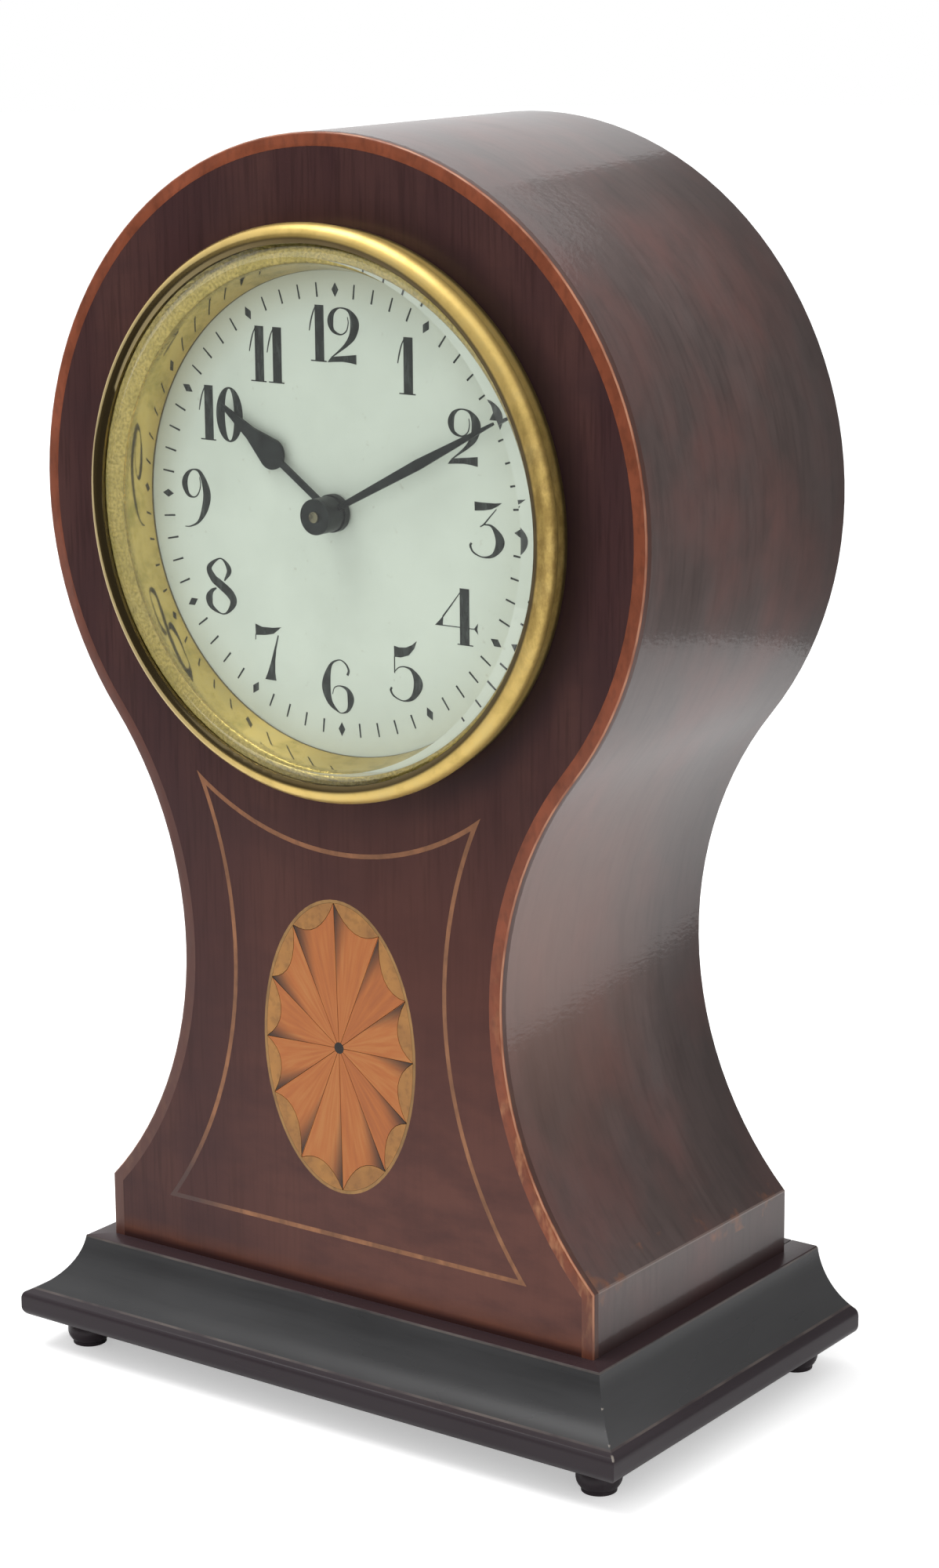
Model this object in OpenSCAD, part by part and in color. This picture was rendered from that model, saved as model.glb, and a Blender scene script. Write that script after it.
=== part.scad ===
// Balloon mantel clock: veneered case on a coved plinth, with a back-wound drum movement.
// Millimetres, +Z up, the dial faces -Y. The origin is on the floor under the plinth's middle.

/* [Case] */
// Diameter of the round head
head_d = 135.2; // [128:0.2:150]
// Height of the dial's centre above the floor
dial_h = 171.4; // [160:0.2:185]
// Width of the case at its foot
case_w = 113.8; // [106:0.2:122]
// Depth of the case from front face to back face
case_d = 66.4; // [62:0.2:80]
// Radius of each concave waist curve
waist_r = 71; // [66:0.5:76]
// Height of the upright foot block above the plinth
foot_block_h = 12.4; // [10:0.1:15]
// Thickness of the front board behind its veneer
front_board_t = 7; // [5:0.5:8]
// Thickness of the back board
back_board_t = 6; // [4:0.5:8]
// Thickness of the saw-cut mahogany veneer
veneer_t = 0.9; // [0.6:0.1:1.2]
// Half width of the hollow between the cheeks
hollow_hw = 24; // [20:0.5:26]

/* [Inlay] */
// Width of the edge stringing on the front
edge_string_w = 2.5; // [2:0.1:3.2]
// Depth of the edge stringing along the sides
edge_string_d = 1.7; // [1.4:0.1:2.4]
// Width of the panel stringing
panel_string_w = 0.9; // [0.7:0.1:1.3]
// Distance of the panel line from the waist edge
panel_margin = 12; // [10:0.5:14]
// Radius of the arc along the panel's top
panel_top_r = 54.6; // [52:0.2:58]
// Width of the oval patera
patera_w = 35.4; // [30:0.2:38]
// Height of the oval patera
patera_h = 57; // [50:0.2:60]

/* [Plinth] */
// Height of the feet
foot_h = 6.1; // [5.5:0.1:8]
// Height of the plinth's rounded lower edge
slab_h = 5.9; // [4.5:0.1:6.5]
// Height of the coved part of the plinth
cove_h = 10.4; // [9:0.1:12]
// Radius of the cove
cove_r = 14; // [12:0.5:20]
// How far the plinth's top shows around the case
ledge_w = 4; // [3:0.1:5]
// How far the plinth's lower edge stands out from the case
slab_out = 13.4; // [11:0.1:15]
// How far the plinth runs on behind the case
plinth_back = 6; // [6:0.1:9]
// Diameter of each foot
foot_d = 8.6; // [8:0.2:10]

/* [Dial] */
// Diameter of the white dial that shows inside the sight ring
dial_show_d = 88; // [80:0.2:92]
// How far the sight ring flares out around the dial
sight_w = 4.9; // [4.5:0.1:5.5]
// How far the bezel's lip laps over the glass
glass_lap = 1.2; // [1:0.1:1.5]
// How far the bezel's bead stands out around the glass
bezel_rim = 2.3; // [2:0.1:3]
// Depth of the dial behind the case's front face
dial_depth = 2.8; // [2.4:0.1:3.2]
// Length of the hour hand
hour_hand_len = 30.5; // [28:0.5:34]
// Length of the minute hand
minute_hand_len = 41.5; // [38:0.5:43]
// Minutes past ten that the hands show
shown_min = 10.4; // [0:0.1:59]

/* [Movement] */
// How far the dial and the drum run on under the sight ring
dial_hidden_w = 4; // [3.5:0.1:4.2]
// Depth of the movement's front plate behind the front face
plate_depth = 11.5; // [11.2:0.1:12]
// Distance between the plates
plate_gap = 22; // [21.8:0.1:23]
// Running clearance of each pivot in its hole
pivot_play = 0.05; // [0.03:0.01:0.08]
// How much each gear tooth is thinned for backlash
tooth_play = 0.06; // [0.04:0.01:0.1]

/* [Hidden] */
$fn = 96;
eps = 0.01;

mahogany = "#4a2f2c";
boxwood = "#a0552f";
ebonised = "#333333";
brass = "#b08d3c";
steel = "#8d9094";
pine = "#c49a6a";

// case and plinth
head_r = head_d / 2;
case_hw = case_w / 2;
plinth_h = foot_h + slab_h + cove_h;
plinth_d = case_d + slab_out + plinth_back;
plinth_hw = case_hw + slab_out;
face_y = slab_out - plinth_d / 2;
back_y = face_y + case_d;
core_lap = 2;
slab_round = 2.1;
slab_shelf = 2.1;
foot_in = 9.4;
foot_back_in = 7.8;
foot_bun = 0.46;
foot_neck_in = 1;

// heights measured from the dial's centre
foot_v = plinth_h - dial_h;
kink_v = foot_v + foot_block_h;

// centre of a waist curve: it touches the head circle and ends at the kink
kink_len = norm([case_hw, kink_v]);
near_len = (pow(head_r + waist_r, 2) - pow(waist_r, 2) + pow(kink_len, 2)) / (2 * kink_len);
side_len = sqrt(pow(head_r + waist_r, 2) - pow(near_len, 2));
kink_dir = [case_hw, kink_v] / kink_len;
waist_x = kink_dir.x * near_len - kink_dir.y * side_len;
waist_v = kink_dir.y * near_len + kink_dir.x * side_len;
waist_slope = waist_v / waist_x;

// inlay
panel_foot_up = 10.9;
panel_foot_v = foot_v + panel_foot_up;
panel_top_v = -8;
panel_cut_v = -40;
panel_cut_hw = 50;
patera_v = -100.4;
patera_border_w = 0.6;
petal_kerf = 0.1;
petal_bite = 0.24;
dot_r = 1.1;
// turns of the hand-cut fan's cusps, clockwise from its top
cusp_turns = [-2.6, 34.1, 65.1, 89.7, 115, 142.6, 178.8, 213.4, 245.7, 268.8, 293.8, 322.6];
petal_count = len(cusp_turns);
oval_steps = 72;

// clearances: around the drum, of a seated piece, of a free face, and past a face that is cut away
bore_play = 0.3;
seat_play = 0.1;
free_gap = 0.4;
over = 1;

// dial group diameters, all from the white dial that shows
sight_t = 1;
glass_d = dial_show_d + 2 * (sight_w + sight_t);
bezel_open_d = glass_d - 2 * glass_lap;
bezel_d = glass_d + 2 * bezel_rim;
drum_d = dial_show_d + 2 * dial_hidden_w;

// boards
bore_r = drum_d / 2 + bore_play;
crown_v = 20;
rail_h = 12;
board_back = veneer_t + front_board_t;
inner_back = case_d - back_board_t;
case_screw_r = 1.75;
case_screw_head_r = 3.5;
case_screw_head_h = 2.4;
case_screw_len = 30;
case_screw_x = (hollow_hw + case_hw - edge_string_w) / 2;

// bezel, glass and sight ring
bead_r = 2.2;
bead_mid = 4.4;
bead_x = bezel_d / 2 - bead_r;
bezel_foot_in = 0.7;
bezel_foot_r = bezel_d / 2 - bezel_foot_in;
bezel_shelf_r = drum_d / 2 - bore_play;
bezel_shelf_t = 0.8;
seat_r = glass_d / 2 + seat_play;
glass_rim = 5.4;
glass_back = 4.4;
glass_top = 6.5;
bevel_w = 2.4;
sight_top_r = dial_show_d / 2 + sight_w;
sight_lean = 8;
sight_run = [sight_w, glass_back + dial_depth];
sight_arc_r = sight_run * sight_run / (2 * (sight_run.x * cos(sight_lean) - sight_run.y * sin(sight_lean)));
sight_mid = [
  dial_show_d / 2 + sight_arc_r * cos(sight_lean),
  dial_depth + sight_arc_r * sin(sight_lean)
];
dial_t = 0.8;
dial_back = dial_depth + dial_t;
dial_foot_r = dial_show_d / 2 - dial_hidden_w;
dial_foot_rod = 0.8;
dial_foot_count = 3;

// drum and back door
drum_r = drum_d / 2;
drum_wall = 0.8;
ring_t = 1.5;
ring_lap = 6;
ring_out_r = drum_r + ring_lap;
ring_back = case_d + ring_t;
ring_screw_r = drum_r + ring_lap - 2;
ring_screw_shank = 0.8;
ring_screw_head = 1.4;
ring_screw_len = 4.5;
ring_screw_head_h = 0.9;
ring_screw_angles = [90, 210, 330];
door_lap = 1.5;
door_r = drum_r + door_lap;
door_lift = 0.25;
door_t = 1.2;
door_back = ring_back + door_lift + door_t;
knuckle_r = 1.4;
knuckle_gap = 0.3;
knuckle_mid = 7.6;
knuckle_end = 4;
hinge_out = 2.8;
hinge_x = -door_r - hinge_out;
leaf_lap = 3;
hinge_back = ring_back + door_lift + knuckle_r;
pin_r = 0.65;
knob_in = 6.5;
knob_x = door_r - knob_in;
knob_r = 2.3;
knob_neck_r = 1.3;
knob_neck_h = 0.9;
knob_h = 2;

// movement levels, as depths behind the front face
plate_t = 1.5;
front_in = plate_depth + plate_t;
back_in = front_in + plate_gap;
back_out = back_in + plate_t;
front_plate_r = drum_r - drum_wall - seat_play;
back_plate_in = 8;
back_plate_r = drum_r - back_plate_in;
pillar_in = 4;
pillar_ring_r = back_plate_r - pillar_in;
pillar_r = 2.4;
pillar_angles = [15, 100, 215, 325];
plate_screw_r = 1;
plate_screw_head_r = 2;
plate_screw_head_h = 1.1;
plate_screw_len = 5;
end_play = 0.1;
pivot_short = 0.2;
arbor_r = 0.9;
centre_r = 1.4;
escape_arbor_r = 0.75;
pallet_r = 0.7;
pivot_r = 0.5;
pinion_len = 2.6;
wheel_t = 1;
wheel_rim = 1.2;
spoke_w = 1.4;
pinion_over = 0.6;

// gear train: tooth counts and modules
press_angle = 25;
wheel_add = 0.8;
wheel_ded = 1.15;
great_n = 84;
great_m = 0.42;
inter_pinion_n = 12;
inter_n = 72;
inter_m = 0.36;
centre_pinion_n = 12;
centre_n = 80;
centre_m = 0.32;
third_pinion_n = 10;
third_n = 75;
third_m = 0.28;
fourth_pinion_n = 10;
fourth_n = 80;
fourth_m = 0.25;
escape_pinion_n = 10;
escape_n = 15;
escape_r = 6;
escape_root_r = 4.3;
escape_tooth = [0, 0.3, 0.42];
escape_hole_at = 2.4;
escape_hole_r = 1;
cannon_n = 12;
minute_n = 36;
motion_m = 0.4;
minute_pinion_n = 10;
hour_n = 40;
motion_a = (cannon_n + minute_n) * motion_m / 2;
hour_m = 2 * motion_a / (minute_pinion_n + hour_n);

// arbor places, from the dial's centre
inter_dir = -20;
barrel_dir = 225.2;
third_dir = 150;
fourth_dir = 60;
escape_dir = 20;
minute_dir = -60;
function polar(a, r) = [r * cos(a), r * sin(a)];
centre_p = [0, 0];
inter_p = polar(inter_dir, (centre_pinion_n + inter_n) * inter_m / 2);
barrel_p = inter_p + polar(barrel_dir, (inter_pinion_n + great_n) * great_m / 2);
third_p = polar(third_dir, (centre_n + third_pinion_n) * centre_m / 2);
fourth_p = third_p + polar(fourth_dir, (third_n + fourth_pinion_n) * third_m / 2);
escape_p = fourth_p + polar(escape_dir, (fourth_n + escape_pinion_n) * fourth_m / 2);
lever_dir = -5;
lever_len = 9;
pallet_p = escape_p + polar(lever_dir, escape_r / cos(30));
balance_p = pallet_p + polar(lever_dir, lever_len);
minute_p = polar(minute_dir, motion_a);

// tooth phases: a tooth of each follower stands in a gap of its driver
function mesh(dir, phase, na, nb) = dir + 180 - (phase - dir) * na / nb + 180 / nb;
centre_wheel_ph = 0;
third_pinion_ph = mesh(third_dir, centre_wheel_ph, centre_n, third_pinion_n);
third_wheel_ph = 0;
fourth_pinion_ph = mesh(fourth_dir, third_wheel_ph, third_n, fourth_pinion_n);
fourth_wheel_ph = 0;
escape_pinion_ph = mesh(escape_dir, fourth_wheel_ph, fourth_n, escape_pinion_n);
centre_pinion_ph = 0;
inter_wheel_ph = mesh(inter_dir, centre_pinion_ph, centre_pinion_n, inter_n);
inter_pinion_ph = 0;
great_ph = mesh(barrel_dir, inter_pinion_ph, inter_pinion_n, great_n);
cannon_ph = 0;
minute_wheel_ph = mesh(minute_dir, cannon_ph, cannon_n, minute_n);
minute_pinion_ph = 0;
hour_ph = mesh(minute_dir + 180, minute_pinion_ph, minute_pinion_n, hour_n);

// depths of the wheels
inter_hub_r = 3;
centre_hub_r = 3.2;
third_hub_r = 2.8;
fourth_hub_r = 2.6;
hour_wheel_at = 7;
minute_wheel_at = 9;
great_up = 2;
great_t = 1.6;
fourth_up = 5;
third_up = 11;
escape_up = 14;
balance_up = 17;
inter_up = 17.5;
centre_down = 2;
hairspring_down = 2.8;
great_at = front_in + great_up;
fourth_wheel_at = front_in + fourth_up;
third_wheel_at = front_in + third_up;
escape_wheel_at = front_in + escape_up;
balance_at = front_in + balance_up;
inter_wheel_at = front_in + inter_up;
centre_wheel_at = back_in - centre_down;
hairspring_at = back_in - hairspring_down;

// barrel and winding
barrel_r = 15.5;
barrel_wall = 0.8;
barrel_h = 13.2;
barrel_end = great_at + barrel_h;
cap_t = 1;
wind_r = 2.5;
wind_core_r = 3.4;
wind_pivot_r = 1.5;
wind_square = 3.4;
wind_reach = 10.5;
wind_end = back_out + wind_reach;
spring_t = 0.45;
spring_turns = 9;
spring_in_r = 4.6;
spring_out_r = 14.2;
spring_steps = 20;
ratchet_lift = 0.5;
ratchet_at = back_out + ratchet_lift;
ratchet_t = 1.2;
ratchet_n = 30;
ratchet_r = 7.5;
ratchet_root_r = 6.7;
ratchet_face = 0.12;
click_dir = 200;
click_span = 11;
click_p = barrel_p + polar(click_dir, click_span);
click_post_r = 1.2;
click_gap = 0.25;
click_eye_r = 2.1;
click_tip = 0.7;

// hands
cannon_r = 1.5;
cannon_front = -1;
pipe_play = 0.06;
pipe_in_r = cannon_r + pipe_play;
pipe_r = 2.3;
pipe_front = 0.95;
hour_hub_r = 3.45;
hour_hub_back = 2.3;
hand_t = 0.5;
hour_hand_at = 1.2;
minute_hand_at = -0.45;
minute_hub_r = 3.25;
minute_hub_back = 0.5;
minute_hub_front = -3.6;
centre_front = -4;
centre_tip_r = 1;
centre_tip_play = 0.05;
set_square = 1.6;
set_reach = 8;
set_square_len = 5;
set_end = back_out + set_reach;
minute_turn = shown_min * 6;
hour_turn = 300 + shown_min / 2;
minute_post_r = 0.8;
bulb_share = 0.545;
bulb_r = 2.85;
bulb_lean = 18;
neck_share = 0.74;
neck_hw = 1.25;
hour_shank_w = 1.2;
hour_tip_hw = 0.3;
wide_share = 0.56;
minute_shank_hw = 0.45;
minute_wide_hw = 0.95;
minute_tip_hw = 0.25;

// escapement
balance_r = lever_len - pallet_r - free_gap;
balance_rim = 1.3;
balance_hub_r = 1.5;
staff_r = 0.8;
staff_pivot_r = 0.35;
roller_r = 2.1;
roller_t = 0.8;
roller_drop = 0.6;
impulse_r = 1.6;
impulse_pin_r = 0.3;
fork_len = 6.3;
fork_w = 2.2;
fork_t = 0.9;
lever_w = 1;
hair_t = 0.2;
hair_in_r = 1.7;
hair_out_r = 5;
hair_turns = 5;
hair_steps = 20;
hair_h = 0.7;
stud_r = 0.45;
curb_r = 5.8;
curb_pin_r = 0.3;
curb_slot = 1.2;
index_swing = 20;
index_dir = 45;
index_boss_r = 2;
index_ring_r = 3.6;
index_t = 0.8;
index_lift = 0.15;
index_at = back_out + index_lift;
index_len = 13;
index_hw = 0.9;
index_tip_hw = 0.4;
curb_arm_hw = 0.8;
curb_cut = 20;
curb_spare = 8;

// a flat shape drawn as seen from the front, between two depths behind the front face
module layer(d1, d2) {
  translate([0, face_y + d2, dial_h])
    rotate([90, 0, 0])
      linear_extrude(height = d2 - d1)
        children();
}

// a turned shape: its profile's x is the radius and its y the depth behind the front face
module turned(p = [0, 0]) {
  translate([p.x, face_y, dial_h + p.y])
    rotate([-90, 0, 0])
      rotate_extrude()
        children();
}

// a round rod along the depth
module rod(p, r, d1, d2) {
  translate([p.x, face_y + d1, dial_h + p.y])
    rotate([-90, 0, 0])
      cylinder(r = r, h = d2 - d1);
}

// the case outline, moved inward by i
module outline(i) {
  circle(r = head_r - i);
  difference() {
    polygon([
      [i - case_hw, foot_v],
      [case_hw - i, foot_v],
      [case_hw - i, (case_hw - i) * waist_slope],
      [0, 0],
      [i - case_hw, (case_hw - i) * waist_slope]
    ]);
    for (s = [-1, 1])
      translate([s * waist_x, waist_v])
        circle(r = waist_r + i);
  }
}

// the inlaid panel's outline, moved inward by i
module panel(i) {
  difference() {
    translate([-panel_cut_hw, panel_foot_v + i])
      square([2 * panel_cut_hw, panel_cut_v - panel_foot_v - i]);
    translate([0, panel_top_v])
      circle(r = panel_top_r + i);
    for (s = [-1, 1])
      translate([s * waist_x, waist_v])
        circle(r = waist_r + panel_margin + i);
  }
}

// a point on the oval, moved inward by i, at angle a from its top
function oval_pt(a, i) = [(patera_w / 2 - i) * sin(a), patera_v + (patera_h / 2 - i) * cos(a)];

module oval(i) {
  polygon([for (k = [0 : oval_steps - 1]) oval_pt(k * 360 / oval_steps, i)]);
}

// the turn of cusp k, counted on past the last
function cusp(k) = cusp_turns[k % petal_count] + 360 * floor(k / petal_count);

// the bitten end of petal k, from one cusp to the next
function petal_end(k, i) =
  let (p = oval_pt(cusp(k), i))
  let (q = oval_pt(cusp(k + 1), i))
  let (mid = (p + q) / 2)
  let (inward = [0, patera_v] - mid)
  let (bite = inward / norm(inward) * norm(q - p) * petal_bite)
  [for (t = [0 : 0.125 : 1]) p * (1 - t) + q * t + bite * 4 * t * (1 - t)];

// the rim of the oval across petal k
function petal_rim(k, i) =
  [for (t = [1 : -0.125 : 0]) oval_pt(cusp(k) * (1 - t) + cusp(k + 1) * t, i)];

module petal(k) {
  offset(delta = -petal_kerf / 2)
    polygon(concat([[0, patera_v]], petal_end(k, patera_border_w)));
}

module lunette(k) {
  offset(delta = -petal_kerf / 2)
    polygon(concat(petal_end(k, patera_border_w), petal_rim(k, patera_border_w)));
}

// toothed outline of a wheel or pinion
function inv(a) = tan(a) * 180 / PI - a;
function tooth_half(n, m, r) =
  let (base_r = n * m / 2 * cos(press_angle))
  90 / n - tooth_play / (n * m) * 180 / PI + inv(press_angle) - inv(acos(min(1, base_r / r)));

module gear(n, m, phase, flank) {
  root_r = n * m / 2 - wheel_ded * m;
  tip_r = n * m / 2 + wheel_add * m;
  polygon([
    for (k = [0 : n - 1])
      for (s = [-1, 1])
        for (j = [0 : flank])
          let (f = s < 0 ? j / flank : 1 - j / flank)
          let (r = root_r + (tip_r - root_r) * f)
          polar(phase + k * 360 / n + s * tooth_half(n, m, r), r)
  ]);
}

// a crossed-out wheel with four spokes
module wheel(p, n, m, phase, hub_r, bore, d1, d2) {
  rim_r = n * m / 2 - wheel_ded * m - wheel_rim;
  layer(d1, d2)
    translate(p)
      difference() {
        gear(n, m, phase, 1);
        circle(r = bore);
        difference() {
          circle(r = rim_r);
          circle(r = hub_r);
          for (a = [45, 135])
            rotate(a)
              square([2 * rim_r, spoke_w], center = true);
        }
      }
}

// an arbor that runs between the plates, with a pivot at each end
module pivoted(p, r) {
  rod(p, r, front_in + end_play, back_in - end_play);
  rod(p, pivot_r, plate_depth + pivot_short, back_out - pivot_short);
}

module pinion(p, n, m, phase, d1, d2) {
  layer(d1, d2)
    translate(p)
      gear(n, m, phase, 2);
}

// a flat coil from radius r1 to r2
module coil(r1, r2, t, turns, steps) {
  last = turns * steps;
  polygon(concat(
    [for (k = [0 : last]) polar(k * 360 / steps, r1 + (r2 - r1) * k / last)],
    [for (k = [last : -1 : 0]) polar(k * 360 / steps, r1 + t + (r2 - r1) * k / last)]
  ));
}

// plinth
module cove_profile() {
  top = [ledge_w, plinth_h];
  low = [slab_out - slab_shelf, foot_h + slab_h];
  mid = (top + low) / 2;
  run = low - top;
  out = [-run.y, run.x] / norm(run);
  reach = sqrt(pow(cove_r, 2) - pow(norm(run) / 2, 2));
  difference() {
    union() {
      polygon([
        [-core_lap, foot_h],
        [slab_out - slab_round, foot_h],
        [slab_out - slab_round, foot_h + slab_h],
        low,
        top,
        [-core_lap, plinth_h]
      ]);
      translate([0, foot_h + slab_round])
        square([slab_out, slab_h - 2 * slab_round]);
      for (v = [foot_h + slab_round, foot_h + slab_h - slab_round])
        translate([slab_out - slab_round, v])
          circle(r = slab_round);
    }
    translate(mid + out * reach)
      circle(r = cove_r);
  }
}

module base_core() {
  color(ebonised)
    difference() {
      translate([core_lap - case_hw, face_y + core_lap, foot_h])
        cube([case_w - 2 * core_lap, plinth_d / 2 - face_y - core_lap, plinth_h - foot_h]);
      case_screw_rods();
    }
}

module front_moulding() {
  color(ebonised)
    intersection() {
      translate([-plinth_hw, face_y, 0])
        rotate([90, 0, 90])
          mirror([1, 0, 0])
            linear_extrude(height = 2 * plinth_hw)
              cove_profile();
      translate([0, face_y, 0])
        linear_extrude(height = plinth_h + over)
          polygon([
            [core_lap - case_hw, core_lap],
            [case_hw - core_lap, core_lap],
            [plinth_hw, -slab_out],
            [-plinth_hw, -slab_out]
          ]);
    }
}

module side_moulding() {
  intersection() {
    translate([case_hw, plinth_d / 2, 0])
      rotate([90, 0, 0])
        linear_extrude(height = plinth_d)
          cove_profile();
    linear_extrude(height = plinth_h + over)
      polygon([
        [case_hw - core_lap, face_y + core_lap],
        [plinth_hw, face_y - slab_out],
        [plinth_hw, plinth_d / 2],
        [case_hw - core_lap, plinth_d / 2]
      ]);
  }
}

module right_moulding() {
  color(ebonised)
    side_moulding();
}

module left_moulding() {
  color(ebonised)
    mirror([1, 0, 0])
      side_moulding();
}

module feet() {
  bun = foot_h * foot_bun;
  color(ebonised)
    for (x = [foot_in - plinth_hw, plinth_hw - foot_in])
      for (y = [foot_in - plinth_d / 2, plinth_d / 2 - foot_back_in])
        translate([x, y, 0])
          rotate_extrude()
            intersection() {
              union() {
                translate([foot_d / 2 - bun, bun])
                  circle(r = bun);
                square([foot_d / 2 - bun, 2 * bun]);
                square([foot_d / 2 - foot_neck_in, foot_h]);
              }
              square([foot_d, foot_h]);
            }
}

module case_screw_rods() {
  for (s = [-1, 1])
    translate([s * case_screw_x, (face_y + back_y) / 2, foot_h]) {
      cylinder(r = case_screw_r, h = case_screw_len);
      cylinder(r = case_screw_head_r, h = case_screw_head_h);
    }
}

module case_screws() {
  color(steel)
    case_screw_rods();
}

// case
module drum_bore() {
  circle(r = bore_r);
}

module front_board() {
  color(pine)
    union() {
      layer(edge_string_d, board_back)
        difference() {
          outline(veneer_t);
          drum_bore();
        }
      layer(veneer_t, edge_string_d)
        difference() {
          outline(edge_string_w);
          drum_bore();
        }
    }
}

module back_board() {
  color(pine)
    difference() {
      layer(inner_back, case_d)
        difference() {
          outline(veneer_t);
          drum_bore();
        }
      ring_screw_rods();
    }
}

// the solid between the boards, left of the hollow
module cheek() {
  difference() {
    layer(board_back, inner_back)
      difference() {
        intersection() {
          outline(veneer_t);
          translate([-head_d, foot_v])
            square([head_d - hollow_hw, crown_v - foot_v]);
        }
        drum_bore();
      }
    case_screw_rods();
  }
}

module left_cheek() {
  color(pine)
    cheek();
}

module right_cheek() {
  color(pine)
    mirror([1, 0, 0])
      cheek();
}

module crown() {
  color(pine)
    layer(board_back, inner_back)
      difference() {
        intersection() {
          outline(veneer_t);
          translate([-head_d, crown_v])
            square([2 * head_d, head_d]);
        }
        drum_bore();
      }
}

module bottom_rail() {
  color(pine)
    layer(board_back, inner_back)
      translate([-hollow_hw, foot_v])
        square([2 * hollow_hw, rail_h]);
}

module side_veneer() {
  color(mahogany)
    layer(edge_string_d, case_d)
      difference() {
        outline(0);
        outline(veneer_t);
      }
}

module front_veneer() {
  color(mahogany)
    layer(0, veneer_t)
      difference() {
        outline(edge_string_w);
        drum_bore();
        difference() {
          panel(0);
          panel(panel_string_w);
        }
        oval(0);
      }
}

module edge_stringing() {
  color(boxwood)
    layer(0, edge_string_d)
      difference() {
        outline(0);
        outline(edge_string_w);
      }
}

module panel_stringing() {
  color(boxwood)
    layer(0, veneer_t)
      difference() {
        panel(0);
        panel(panel_string_w);
      }
}

module patera_border() {
  color(boxwood)
    layer(0, veneer_t)
      difference() {
        oval(0);
        oval(patera_border_w);
      }
}

module patera_petals() {
  color("#b86f35")
    layer(0, veneer_t)
      difference() {
        for (k = [0 : petal_count - 1])
          petal(k);
        translate([0, patera_v])
          circle(r = dot_r);
      }
}

module patera_lunettes() {
  color("#a07a35")
    layer(0, veneer_t)
      for (k = [0 : petal_count - 1])
        lunette(k);
}

module patera_dot() {
  color("#2a211c")
    layer(0, veneer_t)
      translate([0, patera_v])
        circle(r = dot_r);
}

// dial group
module bezel() {
  color(brass)
    turned()
      difference() {
        union() {
          translate([bead_x, -bead_mid])
            circle(r = bead_r);
          translate([bezel_shelf_r, -bead_mid])
            square([bezel_foot_r - bezel_shelf_r, bead_mid]);
        }
        translate([0, -bead_mid - bead_r - over])
          square([bezel_open_d / 2, bead_mid + bead_r + over - bezel_shelf_t]);
        translate([0, -glass_rim])
          square([seat_r, glass_rim - bezel_shelf_t]);
        translate([0, -bezel_shelf_t])
          square([bezel_shelf_r, bezel_shelf_t + over]);
        square([bezel_d, bead_r]);
      }
}

module glass() {
  color([0.85, 0.9, 0.88, 0.35])
    turned()
      polygon([
        [0, -glass_back],
        [glass_d / 2, -glass_back],
        [glass_d / 2, -glass_rim],
        [bezel_open_d / 2 - seat_play, -glass_rim],
        [bezel_open_d / 2 - bevel_w, -glass_top],
        [0, -glass_top]
      ]);
}

module sight_ring() {
  color(brass)
    turned()
      intersection() {
        translate(sight_mid)
          difference() {
            circle(r = sight_arc_r);
            circle(r = sight_arc_r - sight_t);
          }
        translate([dial_show_d / 2, -glass_back])
          square([sight_top_r + sight_t - dial_show_d / 2, glass_back + dial_depth]);
      }
}

module dial() {
  color("#d5dbd2")
    union() {
      layer(dial_depth, dial_back)
        difference() {
          circle(r = front_plate_r);
          circle(r = pipe_r + pinion_over);
        }
      for (k = [0 : dial_foot_count - 1])
        rod(polar(30 + k * 360 / dial_foot_count, dial_foot_r), dial_foot_rod, dial_back, plate_depth);
    }
}

module hour_hand() {
  bulb_at = hour_hand_len * bulb_share;
  neck_at = hour_hand_len * neck_share;
  color("#35383a")
    difference() {
      union() {
        layer(hour_hand_at, hour_hand_at + hand_t)
          rotate(-hour_turn) {
            translate([-hour_shank_w / 2, 0])
              square([hour_shank_w, bulb_at]);
            translate([0, bulb_at])
              circle(r = bulb_r);
            polygon([
              [-bulb_r * cos(bulb_lean), bulb_at + bulb_r * sin(bulb_lean)],
              [bulb_r * cos(bulb_lean), bulb_at + bulb_r * sin(bulb_lean)],
              [neck_hw, neck_at],
              [hour_tip_hw, hour_hand_len],
              [-hour_tip_hw, hour_hand_len],
              [-neck_hw, neck_at]
            ]);
          }
        rod(centre_p, hour_hub_r, pipe_front, hour_hub_back);
      }
      rod(centre_p, pipe_r, pipe_front - over, hour_hub_back + over);
    }
}

module minute_hand() {
  wide_at = minute_hand_len * wide_share;
  color("#35383a")
    difference() {
      union() {
        layer(minute_hand_at, minute_hand_at + hand_t)
          rotate(-minute_turn)
            polygon([
              [-minute_shank_hw, 0],
              [minute_shank_hw, 0],
              [minute_wide_hw, wide_at],
              [minute_tip_hw, minute_hand_len],
              [-minute_tip_hw, minute_hand_len],
              [-minute_wide_hw, wide_at]
            ]);
        rod(centre_p, minute_hub_r, minute_hub_front, minute_hub_back);
      }
      rod(centre_p, cannon_r, cannon_front, minute_hub_back + over);
      rod(centre_p, arbor_r, minute_hub_front - over, minute_hub_back);
    }
}

module drum() {
  color(brass)
    layer(0, case_d)
      difference() {
        circle(r = drum_r);
        circle(r = drum_r - drum_wall);
      }
}

// back ring and door
module hinge_knuckle(v1, v2) {
  translate([hinge_x, face_y + hinge_back, dial_h + v1])
    cylinder(r = knuckle_r, h = v2 - v1);
}

module hinge_bore(r) {
  translate([hinge_x, face_y + hinge_back, dial_h - knuckle_mid - knuckle_end])
    cylinder(r = r, h = 2 * (knuckle_mid + knuckle_end));
}

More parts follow.
